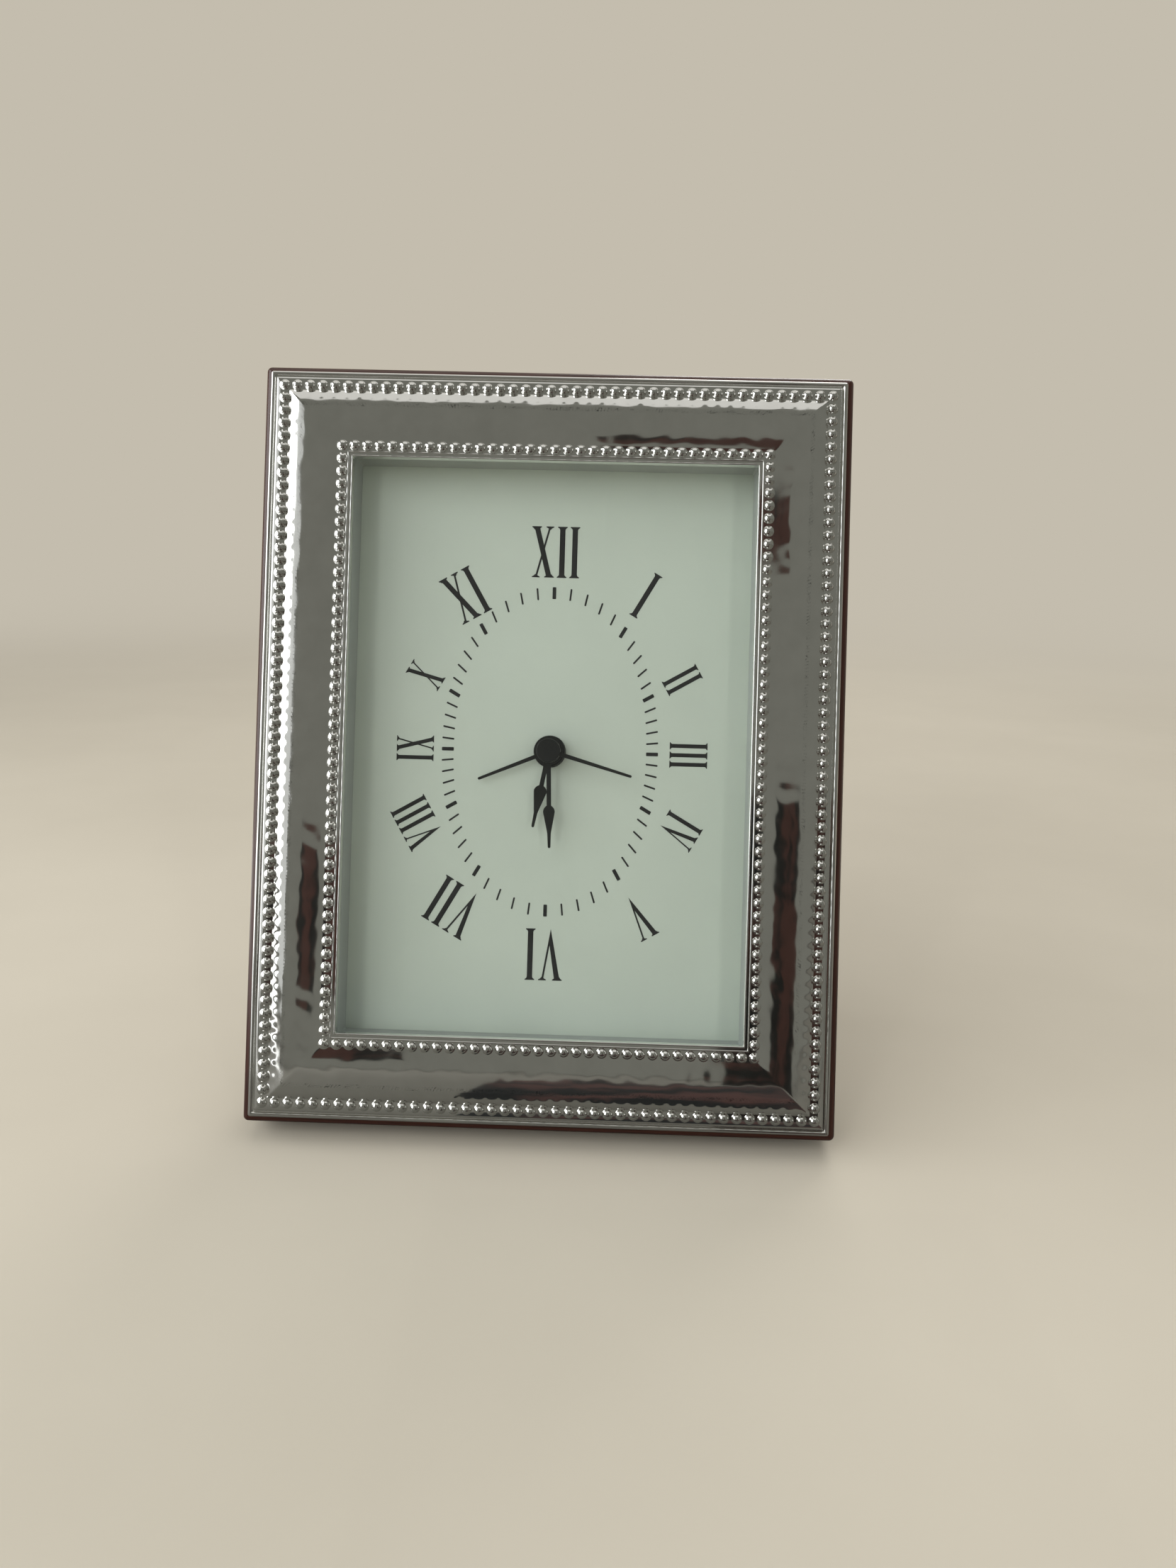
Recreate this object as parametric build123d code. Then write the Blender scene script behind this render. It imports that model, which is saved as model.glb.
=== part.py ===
from build123d import *
import os
from math import cos, radians, sin

# Table clock made as a photo frame: a pressed silver face on a dark wood frame, a quartz alarm movement
# behind a printed dial, and an easel strut at the back.
# Every piece is drawn lying on its back: X right, Y up the frame, Z to the viewer, dial face at Z = 0.
# The whole clock is then stood up, leaning back on its open strut. Lengths are millimetres, angles degrees.

# Stance
LEAN = 14.0
STRUT_OPENING = 28.0

# Front: the sight opening, the silver border round it and the wood that shows beyond the silver
SIGHT_WIDTH = 88.2
SIGHT_HEIGHT = 125.4
BORDER = 19.2
WOOD_MARGIN = 1.7
SIGHT_SETBACK = 0.7
WOOD_ROUNDING = 2.2
WOOD_BULGE = 0.7

# Depths, from the glass back to the rear of the frame
GLASS_THICKNESS = 2.0
HAND_SPACE = 8.2
CARD_THICKNESS = 0.5
BOARD_THICKNESS = 2.5
PACKING_DEPTH = 4.5
PANEL_THICKNESS = 2.5

# How far the glass reaches under the sight edge, the back panel past the glass, and the play round both
GLASS_LAP = 2.4
PANEL_LAP = 1.75
REBATE_PLAY = 0.25

# Silver section: heights above the glass and distances inward from its outer edge
SHEET = 0.5
EDGE_DROP = 1.6
RIM_WIDTH = 1.0
RIM_HEIGHT = 1.5
GROOVE_WIDTH = 0.35
GROOVE_HEIGHT = 1.0
FILLET_WIDTH = 0.45
FILLET_HEIGHT = 1.7
CHANNEL_HEIGHT = 1.9
SHOULDER_START = 4.7
SHOULDER_WIDTH = 2.6
SHOULDER_RISE = 1.3
SHOULDER_KNEE = 0.58
SHOULDER_HOLLOW = 0.06
SHOULDER_ROUND = 0.1
BAND_CROWN = 0.3
INNER_SEAT_HEIGHT = 1.75
SEAT_WIDTH = 2.5
LIP_WIDTH = 0.8
LIP_RIDGE = 0.3
LIP_ROUND = 0.15
LIP_CLEARANCE = 0.1

# Bead rows: distance in from the silver's edge, bead radius and how many spaces along each side
OUTER_BEAD_INSET = 3.45
OUTER_BEAD_RADIUS = 1.1
INNER_BEAD_INSET = 16.75
INNER_BEAD_RADIUS = 1.15
BEAD_SPACING = 2.76
BEAD_SINK = 0.1

# Spacer between dial and glass, and packing frame between dial board and back panel
SPACER_SIDE_SETBACK = 0.2
SPACER_END_SETBACK = 1.0
PACKING_WIDTH = 6.5

# Movement case
CASE_SIZE = 56.0
CASE_DEPTH = 12.5
CASE_WALL = 1.2
CASE_PLATE = 1.0
FRONT_CASE_DEPTH = 5.0
CASE_LIP = 1.5
CASE_PLAY = 0.1
WINDOW_PLAY = 1.0
EAR_REACH = 7.0
EAR_WIDTH = 8.0
EAR_THICKNESS = 1.5
EAR_OFFSET = 15.0

# Centre arbors: radius of each tube from the inside out, and the running play between them
SECOND_ARBOR_RADIUS = 0.5
MINUTE_TUBE_WALL = 0.7
HOUR_TUBE_WALL = 0.7
ALARM_TUBE_WALL = 0.4
BUSH_WALL = 1.0
RUNNING_PLAY = 0.05
PRESS_PLAY = 0.02
BUSH_ABOVE_DIAL = 1.2
DIAL_HOLE_PLAY = 0.15

# Wheels
WHEEL_THICKNESS = 1.0
WHEEL_GAP = 0.4
FIRST_WHEEL_GAP = 0.2
TOOTH_TIP = 0.75
TOOTH_ROOT = 1.05
TOOTH_TIP_SHARE = 0.16
TOOTH_ROOT_SHARE = 0.60
PIVOT_RADIUS = 0.5
BOSS_WALL = 0.9
BOSS_HEIGHT = 0.7
KNOB_ARBOR_RADIUS = 1.0

# Tooth counts
ALARM_WHEEL_TEETH = 44
ALARM_PINION_TEETH = 18
HOUR_WHEEL_TEETH = 40
MOTION_PINION_TEETH = 10
MOTION_WHEEL_TEETH = 36
MINUTE_PINION_TEETH = 12
SET_PINION_TEETH = 12
MINUTE_WHEEL_TEETH = 64
THIRD_PINION_TEETH = 8
THIRD_WHEEL_TEETH = 60
SECOND_PINION_TEETH = 8
SECOND_WHEEL_TEETH = 50
INTERMEDIATE_PINION_TEETH = 10
INTERMEDIATE_WHEEL_TEETH = 48
ROTOR_PINION_TEETH = 8

# Centre distances, and the directions in which the trains run from the centre
ALARM_KNOB_DISTANCE = 10.85
MOTION_DISTANCE = 9.0
SET_KNOB_DISTANCE = 9.0
THIRD_DISTANCE = 10.2
INTERMEDIATE_DISTANCE = 9.0
ROTOR_DISTANCE = 7.0
ALARM_KNOB_DIRECTION = 188.0
MOTION_DIRECTION = 30.0
SET_KNOB_DIRECTION = -42.0
THIRD_DIRECTION = 120.0
INTERMEDIATE_DIRECTION = 60.0
ROTOR_DIRECTION = 60.0

# Motor, circuit and sounder
MAGNET_RADIUS = 1.7
MAGNET_LENGTH = 2.2
AIR_GAP = 0.4
STATOR_THICKNESS = 0.8
STATOR_WIDTH = 30.0
STATOR_ARM = 4.0
STATOR_YOKE = 9.0
STATOR_REACH = 14.0
STATOR_NECK = 1.3
STATOR_SHIFT = 2.0
COIL_RADIUS = 2.9
COIL_PLAY = 0.3
BOARD_STRIP_WIDTH = 7.0
BOARD_STRIP_HEIGHT = 34.0
CIRCUIT_THICKNESS = 1.0
CIRCUIT_STANDOFF = 0.9
SOUNDER_RADIUS = 4.5
SOUNDER_HEIGHT = 4.5
SOUNDER_X = 22.0
SOUNDER_Y = 22.0
SOUND_HOLE_RADIUS = 0.6

# Knobs and alarm slide on the back of the case
KNOB_RADIUS = 5.0
KNOB_HEIGHT = 2.4
KNOB_WELL_PLAY = 1.0
KNOB_WELL_DEPTH = 1.8
KNOB_FLOOR_GAP = 0.2
KNOB_GRIPS = 18
KNOB_GRIP_RADIUS = 0.45
SLIDE_X = 21.0
SLIDE_Y = 8.0
SLIDE_TRAVEL = 3.0
SLIDE_LENGTH = 5.0
SLIDE_WIDTH = 4.0
SLIDE_HEIGHT = 1.0
SLIDE_STEM = 2.0
SLIDE_FLANGE = 1.0
SLIDE_PLAY = 0.1

# Battery bay for one AAA cell
CELL_RADIUS = 5.2
CELL_LENGTH = 43.5
CELL_TIP_RADIUS = 1.9
CELL_TIP_LENGTH = 1.0
CELL_PLAY = 0.6
BAY_WALL = 0.8
BAY_BOTTOM_WALL = 1.5
CONTACT_THICKNESS = 0.4
CONTACT_WIDTH = 7.0
CONTACT_SPRING = 1.7
CONTACT_GAP = 0.1

# Hands: length, blade thickness, widths and the boss on each tube; the angles are clockwise from twelve
HAND_THICKNESS = 0.4
BOSS_THICKNESS = 0.9
HAND_STEP = 1.45
ALARM_BOSS_RADIUS = 3.5
HOUR_BOSS_RADIUS = 3.0
MINUTE_BOSS_RADIUS = 2.75
SECOND_CAP_RADIUS = 2.65
SECOND_CAP_HEIGHT = 1.3
ALARM_HAND_LENGTH = 17.2
HOUR_HAND_LENGTH = 17.4
MINUTE_HAND_LENGTH = 21.6
SECOND_HAND_LENGTH = 19.3
HOUR_SPADE_LENGTH = 9.5
MINUTE_SPADE_LENGTH = 9.4
SPADE_NECK = 3.3
SPADE_NECK_WIDTH = 0.82
SPADE_SHOULDER = 1.4
SPADE_SWELL = 0.65
HOUR_SPADE_WIDTH = 2.9
MINUTE_SPADE_WIDTH = 2.6
STEM_WIDTH = 1.0
TIP_WIDTH = 0.6
ALARM_HAND_ANGLE = 247.3
HOUR_HAND_ANGLE = 190.5
MINUTE_HAND_ANGLE = 178.0
SECOND_HAND_ANGLE = 106.0

# Easel strut
STRUT_THICKNESS = 4.5
STRUT_TOP_WIDTH = 76.0
STRUT_BOTTOM_WIDTH = 84.0
STRUT_LEG = 8.0
STRUT_TOP_BAR = 11.5
STRUT_FOOT_BAR = 14.0
STRUT_CORNER = 3.0
STRUT_CLEARANCE = 1.2
STRUT_WINDOW_PLAY = 2.0

# Strut hinge
HINGE_WIDTH = 40.0
HINGE_LEAF = 1.0
HINGE_PANEL_LEAF_HEIGHT = 12.0
HINGE_STRUT_LEAF_HEIGHT = 9.5
HINGE_SCREW_ROW = 0.6
KNUCKLE_RADIUS = 1.6
PIN_RADIUS = 0.9
PANEL_KNUCKLE_LENGTH = 8.0
KNUCKLE_PLAY = 0.2
STOP_WIDTH = 12.0
STOP_LENGTH = 5.0
STOP_GAP = 0.05
PIN_OVERHANG = 0.6

# Turn buttons that hold the back panel
BUTTON_WIDTH = 7.0
BUTTON_THICKNESS = 1.0
BUTTON_PLAY = 0.1
BUTTON_LAP = 4.5
BUTTON_PIVOT_OUT = 8.0
BUTTON_HEIGHT_ON_FRAME = 46.0

# Screws: shank radius, head radius, head height and thread length for each use
SCREW_HOLE_PLAY = 0.05
BUTTON_SCREW = (1.45, 3.0, 1.5, 9.0)
HINGE_SCREW = (0.9, 1.8, 0.8, 1.9)
CASE_SCREW = (0.9, 1.9, 1.2, 1.9)
SLOT_WIDTH = 0.5
SLOT_DEPTH = 0.5

# Outer sizes that follow from the front
SILVER_WIDTH = SIGHT_WIDTH + 2 * BORDER
SILVER_HEIGHT = SIGHT_HEIGHT + 2 * BORDER
WOOD_WIDTH = SILVER_WIDTH + 2 * WOOD_MARGIN
WOOD_HEIGHT = SILVER_HEIGHT + 2 * WOOD_MARGIN
GLASS_WIDTH = SIGHT_WIDTH + 2 * GLASS_LAP
GLASS_HEIGHT = SIGHT_HEIGHT + 2 * GLASS_LAP
REBATE_WIDTH = GLASS_WIDTH + 2 * REBATE_PLAY
REBATE_HEIGHT = GLASS_HEIGHT + 2 * REBATE_PLAY
PANEL_WIDTH = GLASS_WIDTH + 2 * PANEL_LAP
PANEL_HEIGHT = GLASS_HEIGHT + 2 * PANEL_LAP

# Depth levels that follow from the stack
GLASS_BACK = HAND_SPACE
GLASS_FRONT = GLASS_BACK + GLASS_THICKNESS
CARD_BACK = -CARD_THICKNESS
BOARD_BACK = CARD_BACK - BOARD_THICKNESS
PANEL_FRONT = BOARD_BACK - PACKING_DEPTH
FRAME_BACK = PANEL_FRONT - PANEL_THICKNESS
CASE_FRONT = BOARD_BACK
CASE_BACK = CASE_FRONT - CASE_DEPTH
CASE_SPLIT = CASE_FRONT - FRONT_CASE_DEPTH
INSIDE_FRONT = CASE_FRONT - CASE_PLATE
INSIDE_BACK = CASE_BACK + CASE_PLATE
CASE_HALF = CASE_SIZE / 2

# Tube radii that follow from the arbor
MINUTE_BORE = SECOND_ARBOR_RADIUS + RUNNING_PLAY
MINUTE_TUBE = MINUTE_BORE + MINUTE_TUBE_WALL
HOUR_BORE = MINUTE_TUBE + RUNNING_PLAY
HOUR_TUBE = HOUR_BORE + HOUR_TUBE_WALL
ALARM_BORE = HOUR_TUBE + RUNNING_PLAY
ALARM_TUBE = ALARM_BORE + ALARM_TUBE_WALL
BUSH_BORE = ALARM_TUBE + RUNNING_PLAY
BUSH_RADIUS = BUSH_BORE + BUSH_WALL
DIAL_HOLE = BUSH_RADIUS + DIAL_HOLE_PLAY

# Hand levels: underside of each boss
ALARM_LEVEL = BUSH_ABOVE_DIAL + RUNNING_PLAY
HOUR_LEVEL = ALARM_LEVEL + HAND_STEP
MINUTE_LEVEL = HOUR_LEVEL + HAND_STEP
SECOND_LEVEL = MINUTE_LEVEL + HAND_STEP

# Wheel levels: top of each wheel, from the front of the case back
WHEEL_PITCH = WHEEL_THICKNESS + WHEEL_GAP
ALARM_TOP = INSIDE_FRONT - FIRST_WHEEL_GAP
HOUR_TOP = ALARM_TOP - WHEEL_PITCH
MOTION_TOP = HOUR_TOP - WHEEL_PITCH
MINUTE_TOP = MOTION_TOP - WHEEL_PITCH
THIRD_TOP = MINUTE_TOP - WHEEL_PITCH
SECOND_TOP = THIRD_TOP - WHEEL_PITCH
INTERMEDIATE_TOP = SECOND_TOP - WHEEL_PITCH


def polar(distance, direction, start=(0.0, 0.0)):
    """The point at a distance and direction from a start point."""
    angle = radians(direction)
    return start[0] + distance * cos(angle), start[1] + distance * sin(angle)


CENTRE = (0.0, 0.0)
ALARM_KNOB_AXIS = polar(ALARM_KNOB_DISTANCE, ALARM_KNOB_DIRECTION)
MOTION_AXIS = polar(MOTION_DISTANCE, MOTION_DIRECTION)
SET_KNOB_AXIS = polar(SET_KNOB_DISTANCE, SET_KNOB_DIRECTION, MOTION_AXIS)
THIRD_AXIS = polar(THIRD_DISTANCE, THIRD_DIRECTION)
INTERMEDIATE_AXIS = polar(INTERMEDIATE_DISTANCE, INTERMEDIATE_DIRECTION)
ROTOR_AXIS = polar(ROTOR_DISTANCE, ROTOR_DIRECTION, INTERMEDIATE_AXIS)

# Hinge axis of the strut: above the movement's window, just behind the back panel
WINDOW_SIZE = CASE_SIZE + 2 * WINDOW_PLAY
STRUT_FRONT = FRAME_BACK - STRUT_CLEARANCE
STRUT_WINDOW_TOP = WINDOW_SIZE / 2 + STRUT_WINDOW_PLAY
STRUT_TOP = STRUT_WINDOW_TOP + STRUT_TOP_BAR
HINGE_Y = STRUT_TOP + KNUCKLE_RADIUS + KNUCKLE_PLAY
HINGE_Z = FRAME_BACK - HINGE_LEAF - KNUCKLE_RADIUS


def block(x_span, y_span, z_span):
    """A box between two values on each axis."""
    spans = (x_span, y_span, z_span)
    middle = [(low + high) / 2 for low, high in spans]
    sides = [abs(high - low) for low, high in spans]
    return Pos(*middle) * Box(*sides)


def slab(width, height, z_span):
    """A plate centred on the frame's middle."""
    return block((-width / 2, width / 2), (-height / 2, height / 2), z_span)


def rod(axis, radius, z_span):
    """A cylinder along Z at a point of the plan."""
    low, high = min(z_span), max(z_span)
    return Pos(axis[0], axis[1], (low + high) / 2) * Cylinder(radius, high - low)


def tube(axis, outside, bore, z_span):
    return rod(axis, outside, z_span) - rod(axis, bore, z_span)


def screw_holes(places, sizes, z_span):
    """Clearance holes for a group of screws."""
    return [rod(place, sizes[0] + SCREW_HOLE_PLAY, z_span) for place in places]


def mitred_ring(section, half_width, half_height, depth):
    """A frame of four mitred sides. The section is drawn with X inward from the outer edge and Y up."""
    sides = []
    for half_along, half_across, turn in (
        (half_width, half_height, 0),
        (half_height, half_width, 90),
        (half_width, half_height, 180),
        (half_height, half_width, 270),
    ):
        place = Plane(origin=(-half_along, -half_across, 0), x_dir=(0, 1, 0), z_dir=(1, 0, 0))
        bar = extrude(place * section, 2 * half_along)
        wedge_plan = Polyline(
            (-half_along, -half_across),
            (half_along, -half_across),
            (half_along - depth, depth - half_across),
            (depth - half_along, depth - half_across),
            close=True,
        )
        box = bar.bounding_box()
        wedge = Pos(0, 0, box.min.Z) * extrude(make_face(wedge_plan), box.size.Z)
        sides.append(Rot(0, 0, turn) * (bar & wedge))
    return sides[0] + sides[1:]


def silver_levels():
    """Named heights of the silver section above the dial."""
    edge = GLASS_FRONT - EDGE_DROP
    channel = edge + CHANNEL_HEIGHT
    band = channel + SHOULDER_RISE
    seat = GLASS_FRONT + INNER_SEAT_HEIGHT
    return edge, channel, band, seat


def silver_back_points():
    """Underside of the sheet from the outer edge inward, which is also the front of the wood."""
    edge, channel, band, seat = silver_levels()
    shoulder_end = SHOULDER_START + SHOULDER_WIDTH
    return [
        (0, edge),
        (RIM_WIDTH + GROOVE_WIDTH, edge + GROOVE_HEIGHT - SHEET),
        (SHOULDER_START, channel - SHEET),
        (shoulder_end + SHEET / 2, band - SHEET),
        (BORDER - LIP_WIDTH - SEAT_WIDTH, seat - SHEET),
        (BORDER - SIGHT_SETBACK, seat - SHEET),
    ]


def silver_section():
    """Pressed profile: rim, groove, fillet, bead channel, shoulder, crowned band, bead seat and lip."""
    edge, channel, band, seat = silver_levels()
    rim_foot = edge + GROOVE_HEIGHT
    groove_end = RIM_WIDTH + GROOVE_WIDTH
    fillet_end = groove_end + FILLET_WIDTH
    fillet_top = ((groove_end + fillet_end) / 2, edge + FILLET_HEIGHT)
    shoulder_end = SHOULDER_START + SHOULDER_WIDTH
    knee = (SHOULDER_START + SHOULDER_KNEE * SHOULDER_WIDTH, channel + SHOULDER_KNEE * SHOULDER_RISE)
    seat_start = BORDER - LIP_WIDTH - SEAT_WIDTH
    lip_start = BORDER - LIP_WIDTH
    lip_end = GLASS_FRONT + LIP_CLEARANCE
    back = silver_back_points()
    outline = [
        Line((0, edge), (0, rim_foot)),
        ThreePointArc((0, rim_foot), (RIM_WIDTH / 2, edge + RIM_HEIGHT), (RIM_WIDTH, rim_foot)),
        Line((RIM_WIDTH, rim_foot), (groove_end, rim_foot)),
        ThreePointArc((groove_end, rim_foot), fillet_top, (fillet_end, channel)),
        Line((fillet_end, channel), (SHOULDER_START, channel)),
        SagittaArc((SHOULDER_START, channel), knee, -SHOULDER_HOLLOW),
        SagittaArc(knee, (shoulder_end, band), SHOULDER_ROUND),
        SagittaArc((shoulder_end, band), (seat_start, seat), BAND_CROWN),
        Line((seat_start, seat), (lip_start - LIP_RIDGE, seat)),
        ThreePointArc(
            (lip_start - LIP_RIDGE, seat), (lip_start, seat + LIP_RIDGE), (lip_start + LIP_RIDGE, seat)
        ),
        SagittaArc((lip_start + LIP_RIDGE, seat), (BORDER, lip_end), LIP_ROUND),
        Line((BORDER, lip_end), (BORDER - SHEET, lip_end)),
        Line((BORDER - SHEET, lip_end), back[-1]),
        Polyline(*reversed(back)),
    ]
    return make_face(Wire(sum((part.edges() for part in outline), ShapeList())))


def bead_row(inset, radius, level):
    """Evenly spaced beads round a rectangle, with one at each corner."""
    half_x = SILVER_WIDTH / 2 - inset
    half_y = SILVER_HEIGHT / 2 - inset
    spaces_x = round(2 * half_x / BEAD_SPACING)
    spaces_y = round(2 * half_y / BEAD_SPACING)
    places = []
    for step in range(spaces_x):
        x = -half_x + 2 * half_x * step / spaces_x
        places += [(x, -half_y), (-x, half_y)]
    for step in range(spaces_y):
        y = -half_y + 2 * half_y * step / spaces_y
        places += [(half_x, y), (-half_x, -y)]
    return [Pos(x, y, level - BEAD_SINK) * Sphere(radius) for x, y in places]


def silver_facing():
    _, channel, _, seat = silver_levels()
    sheet = mitred_ring(silver_section(), SILVER_WIDTH / 2, SILVER_HEIGHT / 2, BORDER)
    beads = bead_row(OUTER_BEAD_INSET, OUTER_BEAD_RADIUS, channel)
    beads += bead_row(INNER_BEAD_INSET, INNER_BEAD_RADIUS, seat)
    floor = mitred_ring(
        make_face(Polyline(*silver_back_points(), (BORDER, GLASS_BACK), (0, GLASS_BACK), close=True)),
        SILVER_WIDTH / 2,
        SILVER_HEIGHT / 2,
        BORDER,
    )
    return (sheet + beads) - floor


def wood_section():
    """Rounded outer edge, front shaped to the silver, rebate for the glass and seat for the back panel."""
    edge = silver_levels()[0]
    front = [(inset + WOOD_MARGIN, height) for inset, height in silver_back_points()]
    rebate = (WOOD_WIDTH - REBATE_WIDTH) / 2
    panel_seat = rebate - PANEL_LAP
    turn_start = edge - WOOD_ROUNDING
    bulge = ((1 - WOOD_BULGE) * WOOD_MARGIN, edge - (1 - WOOD_BULGE) * WOOD_ROUNDING)
    outline = [
        Line((0, FRAME_BACK), (0, turn_start)),
        ThreePointArc((0, turn_start), bulge, (WOOD_MARGIN, edge)),
        Polyline(
            *front,
            (front[-1][0], GLASS_FRONT),
            (rebate, GLASS_FRONT),
            (rebate, PANEL_FRONT),
            (panel_seat, PANEL_FRONT),
            (panel_seat, FRAME_BACK),
            (0, FRAME_BACK),
        ),
    ]
    return make_face(Wire(sum((part.edges() for part in outline), ShapeList())))


def button_pivots():
    """Pivot of each turn button on the wood, and the way its tongue points."""
    x = PANEL_WIDTH / 2 + BUTTON_PIVOT_OUT
    y = BUTTON_HEIGHT_ON_FRAME
    return [((x, y), 180), ((x, -y), 180), ((-x, y), 0), ((-x, -y), 0)]


def wood_frame():
    ring = mitred_ring(wood_section(), WOOD_WIDTH / 2, WOOD_HEIGHT / 2, WOOD_MARGIN + BORDER)
    places = [pivot for pivot, _ in button_pivots()]
    return ring - screw_holes(places, BUTTON_SCREW, (FRAME_BACK, FRAME_BACK + BUTTON_SCREW[3]))


def glass_pane():
    return slab(GLASS_WIDTH, GLASS_HEIGHT, (GLASS_BACK, GLASS_FRONT))


def spacer_frame():
    outside = slab(GLASS_WIDTH, GLASS_HEIGHT, (0, GLASS_BACK))
    opening_width = SIGHT_WIDTH + 2 * SPACER_SIDE_SETBACK
    opening_height = SIGHT_HEIGHT + 2 * SPACER_END_SETBACK
    return outside - slab(opening_width, opening_height, (0, GLASS_BACK))


def dial_card():
    return slab(GLASS_WIDTH, GLASS_HEIGHT, (CARD_BACK, 0)) - rod(CENTRE, DIAL_HOLE, (CARD_BACK, 0))


def ear_places():
    """Screw place in each of the four ears of the movement."""
    x = CASE_HALF + EAR_REACH / 2
    return [(side * x, level * EAR_OFFSET) for side in (-1, 1) for level in (-1, 1)]


def dial_board():
    board = slab(GLASS_WIDTH, GLASS_HEIGHT, (BOARD_BACK, CARD_BACK))
    centre_hole = rod(CENTRE, DIAL_HOLE, (BOARD_BACK, CARD_BACK))
    pilots = screw_holes(ear_places(), CASE_SCREW, (BOARD_BACK, BOARD_BACK + CASE_SCREW[3]))
    return board - centre_hole - pilots


def packing_frame():
    outside = slab(GLASS_WIDTH, GLASS_HEIGHT, (PANEL_FRONT, BOARD_BACK))
    opening_width = GLASS_WIDTH - 2 * PACKING_WIDTH
    opening_height = GLASS_HEIGHT - 2 * PACKING_WIDTH
    return outside - slab(opening_width, opening_height, (PANEL_FRONT, BOARD_BACK))


def hinge_screw_places():
    """Screw rows of the two hinge leaves, on the panel and on the folded strut."""
    x = HINGE_WIDTH / 2 - 4 * HINGE_SCREW[0]
    panel_row = HINGE_Y + HINGE_PANEL_LEAF_HEIGHT * HINGE_SCREW_ROW
    strut_row = STRUT_TOP - HINGE_STRUT_LEAF_HEIGHT * HINGE_SCREW_ROW
    return [(-x, panel_row), (x, panel_row)], [(-x, strut_row), (x, strut_row)]


def back_panel():
    panel = slab(PANEL_WIDTH, PANEL_HEIGHT, (FRAME_BACK, PANEL_FRONT))
    window = slab(WINDOW_SIZE, WINDOW_SIZE, (FRAME_BACK, PANEL_FRONT))
    depth = HINGE_SCREW[3] - HINGE_LEAF
    pilots = screw_holes(hinge_screw_places()[0], HINGE_SCREW, (FRAME_BACK, FRAME_BACK + depth))
    return panel - window - pilots


def screw(place, seat, sizes):
    """Slotted pan-head screw driven forward from the back, with its head on a seat level."""
    shank, head, height, length = sizes
    body = rod(place, shank, (seat, seat + length)) + rod(place, head, (seat - height, seat))
    rim = body.edges().filter_by(GeomType.CIRCLE).group_by(Axis.Z)[0]
    body = fillet(rim, height / 2)
    low = seat - height
    slot = block((place[0] - head, place[0] + head), (place[1] - SLOT_WIDTH / 2, place[1] + SLOT_WIDTH / 2),
                 (low, low + SLOT_DEPTH))
    return body - slot


def turn_button(pivot, direction):
    """Brass tongue that swings over the edge of the back panel."""
    reach = BUTTON_PIVOT_OUT + BUTTON_LAP - BUTTON_WIDTH / 2
    level = FRAME_BACK - BUTTON_PLAY
    plan = SlotCenterToCenter(reach, BUTTON_WIDTH)
    plate = Pos(reach / 2, 0, level - BUTTON_THICKNESS) * extrude(plan, BUTTON_THICKNESS)
    bore = rod(CENTRE, BUTTON_SCREW[0] + 2 * SCREW_HOLE_PLAY, (level - BUTTON_THICKNESS, level))
    return Pos(pivot[0], pivot[1], 0) * Rot(0, 0, direction) * (plate - bore)


def turn_button_screws():
    seat = FRAME_BACK - 2 * BUTTON_PLAY - BUTTON_THICKNESS
    shank, head, height, length = BUTTON_SCREW
    sizes = (shank, head, height, length - SCREW_HOLE_PLAY)
    return Compound([screw(pivot, seat, sizes) for pivot, _ in button_pivots()])


def gear(axis, teeth, pitch_radius, top, phase):
    """Toothed disc whose first tooth points in the phase direction."""
    module = 2 * pitch_radius / teeth
    tip = pitch_radius + TOOTH_TIP * module
    root = pitch_radius - TOOTH_ROOT * module
    step = 360 / teeth
    corners = (
        (root, -TOOTH_ROOT_SHARE / 2),
        (tip, -TOOTH_TIP_SHARE / 2),
        (tip, TOOTH_TIP_SHARE / 2),
        (root, TOOTH_ROOT_SHARE / 2),
    )
    points = []
    for tooth in range(teeth):
        points += [polar(radius, phase + (tooth + share) * step) for radius, share in corners]
    plan = make_face(Polyline(*points, close=True))
    return Pos(axis[0], axis[1], top - WHEEL_THICKNESS) * extrude(plan, WHEEL_THICKNESS)


def pitch_radii(distance, teeth, mate_teeth):
    """Pitch radii of two meshing wheels whose axes lie a distance apart."""
    return distance * teeth / (teeth + mate_teeth), distance * mate_teeth / (teeth + mate_teeth)


def meshing_phase(direction, phase, teeth, mate_teeth):
    """Phase of a mate whose gaps take the teeth of a wheel that has the given phase."""
    return direction + 180 - ((phase - direction) * teeth + 180) / mate_teeth


ALARM_WHEEL_RADIUS, ALARM_PINION_RADIUS = pitch_radii(
    ALARM_KNOB_DISTANCE, ALARM_WHEEL_TEETH, ALARM_PINION_TEETH
)
HOUR_WHEEL_RADIUS, MOTION_PINION_RADIUS = pitch_radii(MOTION_DISTANCE, HOUR_WHEEL_TEETH, MOTION_PINION_TEETH)
MOTION_WHEEL_RADIUS, MINUTE_PINION_RADIUS = pitch_radii(
    MOTION_DISTANCE, MOTION_WHEEL_TEETH, MINUTE_PINION_TEETH
)
SET_PINION_RADIUS = pitch_radii(SET_KNOB_DISTANCE, SET_PINION_TEETH, MOTION_WHEEL_TEETH)[0]
MINUTE_WHEEL_RADIUS, THIRD_PINION_RADIUS = pitch_radii(THIRD_DISTANCE, MINUTE_WHEEL_TEETH, THIRD_PINION_TEETH)
THIRD_WHEEL_RADIUS, SECOND_PINION_RADIUS = pitch_radii(THIRD_DISTANCE, THIRD_WHEEL_TEETH, SECOND_PINION_TEETH)
SECOND_WHEEL_RADIUS, INTERMEDIATE_PINION_RADIUS = pitch_radii(
    INTERMEDIATE_DISTANCE, SECOND_WHEEL_TEETH, INTERMEDIATE_PINION_TEETH
)
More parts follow.
